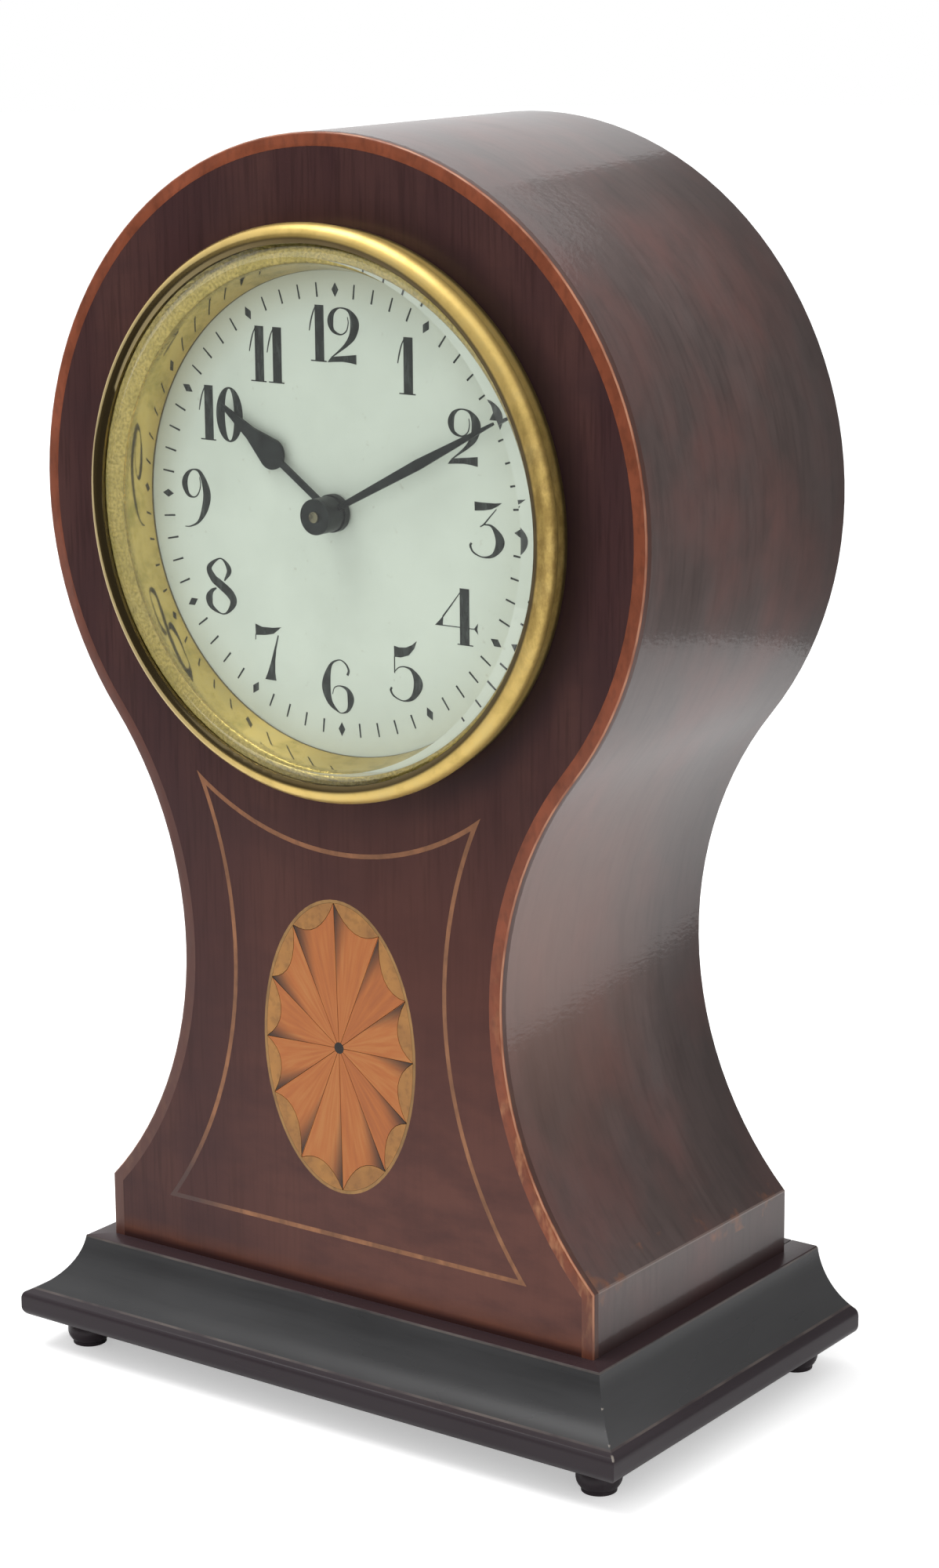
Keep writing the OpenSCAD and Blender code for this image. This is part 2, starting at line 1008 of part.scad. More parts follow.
module ring_screw_rods() {
  for (a = ring_screw_angles)
    rod(polar(a, ring_screw_r), ring_screw_shank, ring_back - ring_screw_len, ring_back);
}

module back_ring() {
  end_v = knuckle_mid / 2 + knuckle_gap;
  color(brass)
    difference() {
      union() {
        layer(case_d, ring_back)
          difference() {
            circle(r = ring_out_r);
            circle(r = drum_r - drum_wall);
          }
        for (v = [end_v, -end_v - knuckle_end]) {
          hinge_knuckle(v, v + knuckle_end);
          translate([hinge_x - knuckle_r, face_y + ring_back - eps, dial_h + v])
            cube([2 * knuckle_r, hinge_back - ring_back + eps, knuckle_end]);
        }
      }
      hinge_bore(pin_r);
      ring_screw_rods();
    }
}

module ring_screws() {
  color(brass)
    union() {
      ring_screw_rods();
      for (a = ring_screw_angles)
        rod(polar(a, ring_screw_r), ring_screw_head, ring_back, ring_back + ring_screw_head_h);
    }
}

module back_door() {
  color(brass)
    difference() {
      union() {
        layer(door_back - door_t, door_back)
          circle(r = door_r);
        hinge_knuckle(-knuckle_mid / 2, knuckle_mid / 2);
        translate([hinge_x, face_y + door_back - door_t, dial_h - knuckle_mid / 2])
          cube([hinge_out + leaf_lap, door_t, knuckle_mid]);
      }
      hinge_bore(pin_r + pivot_play);
    }
}

module door_pin() {
  end_v = knuckle_mid / 2 + knuckle_gap + knuckle_end;
  color(steel)
    translate([hinge_x, face_y + hinge_back, dial_h - end_v])
      cylinder(r = pin_r, h = 2 * end_v);
}

module door_knob() {
  color(brass)
    union() {
      rod([knob_x, 0], knob_neck_r, door_back, door_back + knob_neck_h);
      rod([knob_x, 0], knob_r, door_back + knob_neck_h, door_back + knob_neck_h + knob_h);
    }
}

// plates
module pivot_holes() {
  for (p = [inter_p, third_p, fourth_p, escape_p, pallet_p])
    translate(p)
      circle(r = pivot_r + pivot_play);
  translate(balance_p)
    circle(r = staff_pivot_r + pivot_play);
  circle(r = arbor_r + pivot_play);
}

module front_plate() {
  color(brass)
    union() {
      layer(plate_depth, front_in)
        difference() {
          circle(r = front_plate_r);
          pivot_holes();
          translate(barrel_p)
            circle(r = wind_pivot_r + pivot_play);
        }
      rod(minute_p, minute_post_r, hour_wheel_at - free_gap, plate_depth);
    }
}

module back_plate() {
  color(brass)
    union() {
      layer(back_in, back_out)
        difference() {
          circle(r = back_plate_r);
          pivot_holes();
          translate(barrel_p)
            circle(r = wind_r + pivot_play);
          for (a = pillar_angles)
            translate(polar(a, pillar_ring_r))
              circle(r = plate_screw_r);
          curb_opening();
        }
      rod(click_p, click_post_r, back_out, ratchet_at + ratchet_t + free_gap);
      difference() {
        rod(balance_p, index_boss_r, back_out, index_at + index_t + free_gap);
        rod(balance_p, staff_pivot_r + pivot_play, back_out - over, back_out + 2 * over);
      }
    }
}

module curb_opening() {
  swing = index_swing + curb_spare;
  translate(balance_p)
    difference() {
      circle(r = curb_r + curb_slot / 2);
      circle(r = curb_r - curb_slot / 2);
      rotate(index_dir + 180)
        polygon([
          [0, 0],
          polar(swing, curb_cut),
          polar(90 + swing / 2, curb_cut),
          polar(180, curb_cut),
          polar(270 - swing / 2, curb_cut),
          polar(-swing, curb_cut)
        ]);
    }
}

module pillars() {
  color(brass)
    difference() {
      for (a = pillar_angles)
        rod(polar(a, pillar_ring_r), pillar_r, front_in, back_in);
      plate_screw_shanks();
    }
}

module plate_screw_shanks() {
  for (a = pillar_angles)
    rod(polar(a, pillar_ring_r), plate_screw_r, back_out - plate_screw_len, back_out);
}

module plate_screws() {
  color(steel)
    union() {
      plate_screw_shanks();
      for (a = pillar_angles)
        rod(polar(a, pillar_ring_r), plate_screw_head_r, back_out, back_out + plate_screw_head_h);
    }
}

// barrel and winding
module barrel() {
  color(brass)
    union() {
      layer(great_at, great_at + great_t)
        translate(barrel_p)
          difference() {
            gear(great_n, great_m, great_ph, 1);
            circle(r = wind_r + pivot_play);
          }
      layer(great_at + great_t, barrel_end)
        translate(barrel_p)
          difference() {
            circle(r = barrel_r);
            circle(r = barrel_r - barrel_wall);
          }
    }
}

module barrel_cap() {
  color(brass)
    layer(barrel_end - cap_t, barrel_end)
      translate(barrel_p)
        difference() {
          circle(r = barrel_r - barrel_wall);
          circle(r = wind_r + pivot_play);
        }
}

module mainspring() {
  color(steel)
    layer(great_at + great_t + free_gap, barrel_end - cap_t - free_gap)
      translate(barrel_p)
        coil(spring_in_r, spring_out_r - spring_t, spring_t, spring_turns, spring_steps);
}

module winding_arbor() {
  color(steel)
    union() {
      rod(barrel_p, wind_pivot_r, plate_depth + pivot_short, front_in + end_play);
      rod(barrel_p, wind_r, front_in + end_play, ratchet_at + ratchet_t);
      rod(barrel_p, wind_core_r, great_at + great_t + bore_play, barrel_end - cap_t - bore_play);
      layer(ratchet_at + ratchet_t, wind_end)
        translate(barrel_p)
          square(wind_square, center = true);
    }
}

module ratchet_wheel() {
  color(steel)
    layer(ratchet_at, ratchet_at + ratchet_t)
      translate(barrel_p)
        difference() {
          polygon([
            for (k = [0 : ratchet_n - 1])
              for (j = [0, 1])
                polar((k + j * ratchet_face) * 360 / ratchet_n, j == 0 ? ratchet_root_r : ratchet_r)
          ]);
          circle(r = wind_r);
        }
}

module click() {
  ride_r = ratchet_r + click_gap;
  span = norm(click_p - barrel_p);
  lean = asin(ride_r / span);
  reach = sqrt(pow(span, 2) - pow(ride_r, 2));
  color(steel)
    layer(ratchet_at, ratchet_at + ratchet_t)
      translate(click_p)
        rotate(click_dir + 180 - lean)
          difference() {
            union() {
              circle(r = click_eye_r);
              polygon([
                [0, -click_eye_r],
                [reach, -click_tip],
                [reach, 0],
                [0, 0]
              ]);
            }
            circle(r = click_post_r + pivot_play);
          }
}

// train
module intermediate_arbor() {
  color(steel)
    union() {
      pivoted(inter_p, arbor_r);
      pinion(inter_p, inter_pinion_n, great_m, inter_pinion_ph,
             great_at - pinion_over, great_at + great_t + pinion_over);
    }
}

module intermediate_wheel() {
  color(brass)
    wheel(inter_p, inter_n, inter_m, inter_wheel_ph, inter_hub_r, arbor_r,
          inter_wheel_at, inter_wheel_at + wheel_t);
}

module centre_arbor() {
  pinion_at = inter_wheel_at - (pinion_len - wheel_t) / 2;
  color(steel)
    union() {
      rod(centre_p, arbor_r, centre_front, set_end - set_square_len);
      rod(centre_p, centre_tip_r, centre_front, minute_hub_front - centre_tip_play);
      rod(centre_p, centre_r, front_in + end_play, back_in - end_play);
      pinion(centre_p, centre_pinion_n, inter_m, centre_pinion_ph, pinion_at, pinion_at + pinion_len);
      layer(set_end - set_square_len, set_end)
        square(set_square, center = true);
    }
}

module centre_wheel() {
  color(brass)
    wheel(centre_p, centre_n, centre_m, centre_wheel_ph, centre_hub_r, centre_r,
          centre_wheel_at, centre_wheel_at + wheel_t);
}

module third_arbor() {
  color(steel)
    union() {
      pivoted(third_p, arbor_r);
      pinion(third_p, third_pinion_n, centre_m, third_pinion_ph,
             centre_wheel_at - pinion_over, centre_wheel_at + wheel_t + pinion_over);
    }
}

module third_wheel() {
  color(brass)
    wheel(third_p, third_n, third_m, third_wheel_ph, third_hub_r, arbor_r,
          third_wheel_at, third_wheel_at + wheel_t);
}

module fourth_arbor() {
  color(steel)
    union() {
      pivoted(fourth_p, arbor_r);
      pinion(fourth_p, fourth_pinion_n, third_m, fourth_pinion_ph,
             third_wheel_at - pinion_over, third_wheel_at + wheel_t + pinion_over);
    }
}

module fourth_wheel() {
  color(brass)
    wheel(fourth_p, fourth_n, fourth_m, fourth_wheel_ph, fourth_hub_r, arbor_r,
          fourth_wheel_at, fourth_wheel_at + wheel_t);
}

module escape_arbor() {
  color(steel)
    union() {
      pivoted(escape_p, escape_arbor_r);
      pinion(escape_p, escape_pinion_n, fourth_m, escape_pinion_ph,
             fourth_wheel_at - pinion_over, fourth_wheel_at + wheel_t + pinion_over);
    }
}

module escape_wheel() {
  color(brass)
    layer(escape_wheel_at, escape_wheel_at + wheel_t)
      translate(escape_p)
        difference() {
          polygon([
            for (k = [0 : escape_n - 1])
              for (j = [0 : 2])
                polar((k + escape_tooth[j]) * 360 / escape_n, j == 0 ? escape_root_r : escape_r)
          ]);
          circle(r = escape_arbor_r);
          for (k = [0 : 3])
            rotate(45 + 90 * k)
              translate([escape_hole_at, 0])
                circle(r = escape_hole_r);
        }
}

module pallet_lever() {
  color(steel)
    union() {
      rod(pallet_p, pallet_r, front_in + end_play, back_in - end_play);
      rod(pallet_p, pivot_r, plate_depth + pivot_short, back_out - pivot_short);
      layer(escape_wheel_at, escape_wheel_at + wheel_t)
        translate(pallet_p)
          rotate(lever_dir) {
            translate([0, -lever_w / 2])
              square([fork_len, lever_w]);
            translate([fork_len - fork_t, -fork_w / 2])
              square([fork_t, fork_w]);
            polygon([
              [-0.8, -4.2],
              [0.9, -1.2],
              [0.9, 1.2],
              [-0.8, 4.2],
              [-1.3, 3.3],
              [-0.5, 0.9],
              [-0.5, -0.9],
              [-1.3, -3.3]
            ]);
          }
    }
}

module balance() {
  color(brass)
    union() {
      rod(balance_p, staff_r, front_in + end_play, back_in - end_play);
      rod(balance_p, staff_pivot_r, plate_depth + pivot_short, back_out + index_t);
      rod(balance_p, roller_r, escape_wheel_at - roller_drop - roller_t, escape_wheel_at - roller_drop);
      rod(balance_p - polar(lever_dir, impulse_r), impulse_pin_r,
          escape_wheel_at - roller_drop - roller_t / 2, escape_wheel_at + wheel_t);
      layer(balance_at, balance_at + wheel_t)
        translate(balance_p)
          union() {
            difference() {
              circle(r = balance_r);
              circle(r = balance_r - balance_rim);
            }
            rotate(lever_dir)
              square([2 * balance_r - balance_rim, spoke_w], center = true);
            circle(r = balance_hub_r);
          }
    }
}

module hairspring() {
  color(steel)
    union() {
      layer(hairspring_at, hairspring_at + hair_h)
        translate(balance_p)
          coil(hair_in_r, hair_out_r - hair_t, hair_t, hair_turns, hair_steps);
      rod(balance_p + [hair_out_r, 0], stud_r, hairspring_at - seat_play, back_in);
    }
}

module regulator() {
  color(steel)
    union() {
      layer(index_at, index_at + index_t)
        translate(balance_p)
          rotate(index_dir)
            difference() {
              union() {
                circle(r = index_ring_r);
                polygon([
                  [0, -index_hw],
                  [0, index_hw],
                  [index_len, index_tip_hw],
                  [index_len, -index_tip_hw]
                ]);
                translate([-curb_r - curb_arm_hw, -curb_arm_hw])
                  square([curb_r, 2 * curb_arm_hw]);
              }
              circle(r = index_boss_r + pivot_play);
            }
      rod(balance_p - polar(index_dir, curb_r), curb_pin_r, hairspring_at, index_at + index_t);
    }
}

// motion work
module cannon_pinion() {
  color(steel)
    difference() {
      union() {
        rod(centre_p, cannon_r, cannon_front, plate_depth - free_gap);
        pinion(centre_p, cannon_n, motion_m, cannon_ph,
               minute_wheel_at - pivot_short, minute_wheel_at + wheel_t + pivot_short);
      }
      rod(centre_p, arbor_r, cannon_front - over, plate_depth);
    }
}

module minute_wheel() {
  color(brass)
    layer(minute_wheel_at, minute_wheel_at + wheel_t)
      translate(minute_p)
        difference() {
          gear(minute_n, motion_m, minute_wheel_ph, 1);
          circle(r = minute_post_r + pivot_play);
        }
  color(brass)
    layer(hour_wheel_at - bore_play, minute_wheel_at)
      translate(minute_p)
        difference() {
          gear(minute_pinion_n, hour_m, minute_pinion_ph, 2);
          circle(r = minute_post_r + pivot_play);
        }
}

module hour_wheel() {
  color(brass)
    difference() {
      union() {
        layer(hour_wheel_at, hour_wheel_at + wheel_t)
          gear(hour_n, hour_m, hour_ph, 1);
        rod(centre_p, pipe_r, pipe_front, hour_wheel_at + wheel_t);
      }
      rod(centre_p, pipe_in_r, pipe_front - over, hour_wheel_at + wheel_t + over);
    }
}

base_core();
front_moulding();
left_moulding();
right_moulding();
feet();
case_screws();
front_board();
back_board();
left_cheek();
right_cheek();
crown();
bottom_rail();
side_veneer();
front_veneer();
edge_stringing();
panel_stringing();
patera_border();
patera_petals();
patera_lunettes();
patera_dot();
bezel();
glass();
sight_ring();
dial();
hour_hand();
minute_hand();
drum();
back_ring();
ring_screws();
back_door();
door_pin();
door_knob();
front_plate();
back_plate();
pillars();
plate_screws();
barrel();
barrel_cap();
mainspring();
winding_arbor();
ratchet_wheel();
click();
intermediate_arbor();
intermediate_wheel();
centre_arbor();
centre_wheel();
third_arbor();
third_wheel();
fourth_arbor();
fourth_wheel();
escape_arbor();
escape_wheel();
pallet_lever();
balance();
hairspring();
regulator();
cannon_pinion();
minute_wheel();
hour_wheel();
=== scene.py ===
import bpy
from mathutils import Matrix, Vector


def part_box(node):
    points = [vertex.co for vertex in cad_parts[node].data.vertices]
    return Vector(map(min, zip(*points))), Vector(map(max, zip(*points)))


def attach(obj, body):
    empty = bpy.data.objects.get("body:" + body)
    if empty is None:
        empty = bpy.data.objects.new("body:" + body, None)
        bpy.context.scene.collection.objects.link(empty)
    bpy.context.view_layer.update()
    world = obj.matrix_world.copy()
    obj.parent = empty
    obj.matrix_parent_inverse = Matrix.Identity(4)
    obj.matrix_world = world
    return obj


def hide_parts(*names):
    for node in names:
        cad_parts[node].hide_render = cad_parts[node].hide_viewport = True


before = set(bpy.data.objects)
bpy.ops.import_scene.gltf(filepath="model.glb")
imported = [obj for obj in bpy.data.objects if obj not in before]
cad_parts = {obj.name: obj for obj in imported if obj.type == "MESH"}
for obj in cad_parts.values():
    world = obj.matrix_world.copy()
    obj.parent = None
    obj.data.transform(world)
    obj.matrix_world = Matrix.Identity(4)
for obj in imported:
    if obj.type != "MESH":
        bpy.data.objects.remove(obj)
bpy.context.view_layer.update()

import math

import bmesh
import bpy
from bpy.props import FloatProperty, FloatVectorProperty, PointerProperty
from mathutils import Matrix, Vector

bl_info = {
    "name": "Balloon mantel clock",
    "version": (1, 0, 0),
    "blender": (4, 5, 0),
    "location": "View3D > Sidebar > Clock",
    "description": "Dresses the balloon mantel clock in its woods and metals and sets its studio",
    "category": "Object",
}

MM = 0.001

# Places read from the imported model, in metres.
FACE_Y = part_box("front_veneer")[0].y
BACK_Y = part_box("back_board")[1].y
DIAL_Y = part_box("dial")[0].y
DIAL_Z = (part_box("dial")[0].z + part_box("dial")[1].z) / 2
PATERA_LOW, PATERA_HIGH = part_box("patera_border")
PATERA_Z = (PATERA_LOW.z + PATERA_HIGH.z) / 2
PATERA_HALF = ((PATERA_HIGH.x - PATERA_LOW.x) / 2, (PATERA_HIGH.z - PATERA_LOW.z) / 2)
PLINTH_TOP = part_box("base_core")[1].z
SLAB_TOP = 12.0 * MM
FOOT_HALF_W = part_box("base_core")[1].x + 2 * MM
# x + y is the same all along the mitre at the plinth's near corner.
MITRE_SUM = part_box("front_moulding")[1].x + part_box("front_moulding")[0].y

# Middle of a lighter patch on the side of the waist, a painted sheen.
SHEEN_AT = (40 * MM, -20 * MM, 95 * MM)

# How far the print sits to the right of the hands' axis.
PRINT_SHIFT = 0.46 * MM

# Turns of the fan's hand-cut cusps, clockwise from its top, in degrees.
CUSPS = [-2.6, 34.1, 65.1, 89.7, 115.0, 142.6, 178.8, 213.4, 245.7, 268.8, 293.8, 322.6]

# Inside of the sight ring as radius and height above the dial, in metres: a steep cone, then a flange under the glass.
SIGHT_PROFILE = [(44.0 * MM, 0.1 * MM), (45.66 * MM, 6.1 * MM), (45.77 * MM, 6.48 * MM), (45.95 * MM, 6.68 * MM),
                 (46.3 * MM, 6.82 * MM), (48.7 * MM, 7.15 * MM)]
# How far the cone sits off the hands' axis, to the right and up; the flange's edge stays under the bezel.
SIGHT_SHIFT = (0.95 * MM, -0.66 * MM)

# The sight ring's wall, and its sides round the circle.
RING_WALL, RING_SIDES = 0.6 * MM, 192

# Worn roundings of the edge line and of the plinth's coves, and the steps in each.
STRING_ROUND, COVE_ROUND, ROUND_STEPS = 0.45 * MM, 0.35 * MM, 3

# Points closer than JOIN are merged, and a height within NEAR of another counts as the same.
JOIN, NEAR = 0.001 * MM, 0.01 * MM
# Faces within FLAT are made one, edges past CREASE can be rounded, and the rest is shaded smooth up to these angles.
FLAT, CREASE = math.radians(0.5), math.radians(20)
SMOOTH, RING_SMOOTH = math.radians(30), math.radians(40)
# An edge runs along an axis where its direction's share of it is over this.
STRAIGHT = 0.99

# Depth of the grain and of other fine relief.
RELIEF = 0.05 * MM
# Dark bands of the boxwood, as a share of its colour.
BOXWOOD_DARK = 0.66
# How far the plinth's ledge reaches out before its rim is rubbed.
LEDGE_RIM = 3.6 * MM
# Towards the side of the dial whose rim is most yellowed and darkened with painted shade.
UPPER_LEFT = (-0.6, 0, 0.8)
# Sockets of a node that mixes two colours.
MIX_A, MIX_B, MIX_OUT = 6, 7, 2

# The minute marks narrow outwards to this share, and a pen's half width is at least this many millimetres.
TICK_TAPER, FINEST_PEN = 0.8, 0.05

# The numerals as pen strokes and cut shapes, in millimetres from each numeral's lower left corner.
# A stroke is a row of (x, height, half width), and a shape is a closed outline.
STROKES = {
    "1": [[(1.65, 9.7, 0.1), (1.1, 8.6, 0.12), (0.6, 7.0, 0.14), (0.25, 5.4, 0.09)]],
    "2": [[(4.6, 8.3, 0.07), (4.75, 7.2, 0.09), (4.3, 5.8, 0.11), (3.0, 5.1, 0.14), (1.3, 5.75, 0.36),
           (0.75, 7.4, 0.66), (1.35, 9.0, 0.42), (2.9, 9.82, 0.12), (4.9, 9.4, 0.3), (6.15, 7.5, 0.95),
           (5.75, 5.2, 0.78), (4.4, 3.5, 0.42), (2.6, 2.1, 0.2), (0.8, 0.85, 0.1)]],
    "3": [[(5.9, 8.8, 0.08), (4.4, 7.2, 0.11), (3.2, 5.9, 0.13), (2.4, 5.4, 0.1)],
          [(3.1, 5.88, 0.09), (5.0, 5.6, 0.26), (6.65, 3.1, 0.95), (5.3, 0.7, 0.4), (3.0, 0.05, 0.12),
           (0.95, 0.7, 0.16), (0.25, 1.8, 0.22), (0.5, 2.35, 0.2)]],
    "4": [[(5.5, 9.4, 0.08), (3.5, 6.9, 0.12), (1.7, 4.7, 0.15)]],
    "5": [[(1.2, 5.3, 0.08), (2.2, 6.15, 0.1), (3.6, 6.38, 0.12), (5.2, 5.8, 0.36), (6.45, 3.6, 1.0),
           (5.3, 1.05, 0.5), (3.2, 0.1, 0.12), (1.05, 0.7, 0.15), (0.28, 1.7, 0.21), (0.5, 2.3, 0.2)]],
    "6": [[(5.9, 7.25, 0.25), (6.2, 8.2, 0.22), (5.5, 9.35, 0.15), (4.05, 9.9, 0.1), (2.05, 8.7, 0.32),
           (1.0, 5.0, 0.98), (1.75, 2.0, 0.6), (3.5, 0.4, 0.17), (4.6, 0.1, 0.1), (6.0, 0.85, 0.32),
           (6.6, 2.9, 0.74), (5.95, 4.5, 0.4), (4.4, 5.1, 0.12), (2.95, 4.7, 0.09), (2.4, 3.4, 0.07)]],
    "8": [[(4.5, 6.35, 0.14), (5.65, 8.5, 0.55), (3.7, 10.45, 0.11), (0.95, 8.6, 0.56), (1.85, 6.6, 0.76),
           (3.5, 5.55, 0.84), (5.85, 3.95, 0.88), (6.5, 2.4, 0.74), (5.1, 0.5, 0.26), (3.5, 0.1, 0.12),
           (1.3, 1.2, 0.5), (0.75, 2.75, 0.8), (1.4, 4.1, 0.42), (2.5, 4.8, 0.14)]],
    "9": [[(4.3, 9.5, 0.07), (4.5, 7.9, 0.1), (3.8, 6.2, 0.12), (2.7, 5.65, 0.14), (1.4, 6.2, 0.4),
           (0.72, 8.1, 0.66), (1.4, 9.85, 0.42), (2.9, 10.82, 0.12), (4.6, 10.2, 0.4), (5.95, 6.9, 0.86),
           (5.5, 3.9, 0.76), (4.0, 1.3, 0.3), (2.1, 0.2, 0.13), (0.6, 0.0, 0.07)]],
}
SHAPES = {
    "1": [[(1.55, 0), (3.55, 0), (3.55, 10.1), (1.55, 10.1)], [(0.55, 0), (4.1, 0), (4.1, 0.22), (0.55, 0.22)]],
    "2": [[(0, 0), (0.6, 0.75), (1.5, 1.1), (3.9, 1.38), (6.45, 1.72), (6.45, 0), (5.0, 0.2), (3.5, 0.3), (1.8, 0.18)]],
    "3": [[(1.2, 9.75), (1.25, 8.15), (3.2, 8.35), (4.9, 8.7), (6.1, 9.3), (7.1, 9.98), (5.6, 9.8), (3.0, 9.72)]],
    "4": [[(5.45, 0.1), (7.5, 0.1), (7.5, 10.2), (5.45, 10.2)], [(4.9, 0), (8.3, 0), (8.3, 0.2), (4.9, 0.2)],
          [(0, 3.05), (1.65, 3.05), (1.85, 4.95), (1.1, 4.1)], [(1.4, 3.08), (9.0, 3.1), (9.0, 3.26), (1.4, 3.24)],
          [(8.5, 3.2), (9.4, 4.3), (9.2, 3.2), (9.4, 2.3)]],
    "5": [[(1.1, 10.0), (1.15, 8.0), (2.6, 8.0), (4.4, 8.6), (5.6, 9.9), (6.2, 11.4), (5.2, 10.6), (3.8, 9.95),
           (2.2, 9.8)],
          [(1.08, 5.0), (1.3, 5.0), (1.3, 8.1), (1.08, 8.1)]],
    "7": [[(0.2, 10.2), (0.3, 8.1), (2.5, 8.3), (4.5, 8.75), (6.3, 10.15), (4.3, 9.85), (1.8, 9.75)],
          [(0.12, 7.2), (0.28, 7.2), (0.36, 8.3), (0.18, 8.3)],
          [(5.45, 8.6), (5.68, 8.5), (5.05, 6.0), (4.7, 3.5), (4.68, 1.5), (4.9, 0), (2.3, 0), (2.95, 1.3),
           (3.65, 3.1), (4.4, 5.4)]],
}
ZERO_OUTER, ZERO_INNER = (3.1, 5.05), (1.1, 4.75)
# Each numeral's digits with the place of its lower left corner from the dial's centre, in millimetres.
NUMERALS = [
    ("1", -6.2, 26.9), ("2", -1.9, 26.9), ("1", 13.45, 22.4), ("2", 24.4, 10.9), ("3", 28.9, -5.0),
    ("4", 21.3, -21.2), ("5", 11.0, -33.0), ("6", -4.45, -37.0), ("7", -20.0, -32.7), ("8", -31.4, -21.6),
    ("9", -36.6, -5.9), ("1", -32.2, 10.7), ("0", -27.9, 10.7), ("1", -20.05, 22.3), ("1", -15.95, 22.3),
]


def linear(code):
    """An sRGB hex colour as linear light, with full alpha."""
    parts = [int(code[i:i + 2], 16) / 255 for i in (1, 3, 5)]
    return (*[p / 12.92 if p <= 0.04045 else ((p + 0.055) / 1.055) ** 2.4 for p in parts], 1.0)


def swatch(name, description, code):
    """A colour that a user can change."""
    return FloatVectorProperty(
        name=name, description=description, subtype="COLOR", size=4, min=0, max=1, default=linear(code))


def measure(name, description, size):
    """A length that a user can change, given in millimetres."""
    return FloatProperty(name=name, description=description, default=size * MM, min=0, unit="LENGTH")


class ClockFinish(bpy.types.PropertyGroup):
    """Colours of the woods, the metals and the dial."""
    mahogany_dark: swatch("Dark mahogany", "Dark bands of the polished veneer", "#3c2526")
    mahogany_light: swatch("Light mahogany", "Light bands of the polished veneer", "#4b302d")
    mahogany_faded: swatch("Faded mahogany", "Veneer that has faded towards the foot", "#6a443b")
    side_dark: swatch("Dark side", "Dark bands of the veneer around the sides", "#4f4240")
    side_light: swatch("Light side", "Light bands of the veneer around the sides", "#5c4e4c")
    stringing: swatch("Stringing", "Boxwood line around the front", "#864327")
    satinwood: swatch("Satinwood", "Petals of the oval fan", "#ab632f")
    lunette: swatch("Lunettes", "Pale half-moons around the fan", "#a9763a")
    ebony: swatch("Ebonised wood", "Black polish of the plinth", "#303031")
    brass: swatch("Brass", "Clean brass of the bezel and the movement", "#e2c374")
    enamel: swatch("Dial white", "White of the painted dial", "#cdd5c8")
    ink: swatch("Dial black", "Black of the numerals and the minute track", "#1d211f")
    steel: swatch("Steel", "Bright steel of arbors, screws and levers", "#a9abae")
    blued: swatch("Blackened steel", "Dark steel of the hands", "#1c1f1f")


class ClockPrint(bpy.types.PropertyGroup):
    """Sizes of the dial's printed marks."""
    track_radius: measure("Track radius", "Radius of the middle of the minute marks", 39.9)
    tick_length: measure("Mark length", "Length of each minute mark", 2.6)
    tick_width: measure("Mark width", "Width of each minute mark", 0.36)
    diamond_length: measure("Diamond length", "Length of each hour diamond", 2.6)
    diamond_width: measure("Diamond width", "Width of each hour diamond", 1.5)
    thickness: measure("Print thickness", "How far the print stands off the dial", 0.04)


class ClockStudio(bpy.types.PropertyGroup):
    """Camera and light."""
    lens: FloatProperty(
        name="Lens", description="Focal length on a 36 mm high frame", default=84.76, min=1, unit="CAMERA")
    room: FloatProperty(
        name="Room light", description="Strength of the even light all round", default=0.94, min=0)
    key: FloatProperty(
        name="Key light", description="Power of the large soft light", default=11.5, min=0, unit="POWER")


def feed(mat, node, inputs):
    """Sets a node's inputs, each to a value, to another node's output, or to the first output of a node."""
    for key, value in inputs.items():
        if isinstance(value, bpy.types.Node):
            value = value.outputs[0]
        if isinstance(value, bpy.types.NodeSocket):
            mat.node_tree.links.new(value, node.inputs[key])
        else:
            node.inputs[key].default_value = value


def add(mat, kind, inputs=None, stops=None, **settings):
    """Adds a shader node with its settings, its ramp stops and its inputs."""
    made = mat.node_tree.nodes.new("ShaderNode" + kind)
    for key, value in settings.items():
        setattr(made, key, value)
    if stops:
        ramp = made.color_ramp.elements
        ramp.remove(ramp[1])
        ramp[0].position, ramp[0].color = stops[0]
        for place, colour in stops[1:]:
            ramp.new(place).color = colour
    feed(mat, made, inputs or {})
    return made


def blank(name):
    """A new material with its shader and its Object coordinates."""
    mat = bpy.data.materials.new(name)
    mat.use_nodes = True
    return mat, mat.node_tree.nodes["Principled BSDF"], add(mat, "TexCoord").outputs["Object"]


def patchy(mat, place, sizes, detail=2.0, roughness=0.5):
    """An irregular pattern, 0 to 1, whose patches are this many millimetres along x, y and z."""
    scaled = add(mat, "Mapping", {"Vector": place, "Scale": [1 / (size * MM) for size in sizes]})
    return add(mat, "TexNoise", {"Vector": scaled, "Scale": 1.0, "Detail": detail, "Roughness": roughness})


def from_dial(mat, place):
    """Distance from the dial's axis, in metres."""
    centred = add(mat, "Mapping", {"Vector": place, "Location": (0, 0, -DIAL_Z)})
    flat = add(mat, "VectorMath", {0: centred, 1: (1, 0, 1)}, operation="MULTIPLY")
    return add(mat, "VectorMath", {0: flat}, operation="LENGTH").outputs["Value"]


def grey(level):
    """A linear grey, with full alpha."""
    return (level, level, level, 1.0)


def spotted(mat, place, sizes, low, high, detail=2.0, roughness=0.5):
    """An irregular pattern as a share: low and high each give a level of the pattern and the share there."""
    pattern = patchy(mat, place, sizes, detail, roughness)
    return add(mat, "ValToRGB", {"Fac": pattern}, stops=[(level, grey(share)) for level, share in (low, high)])


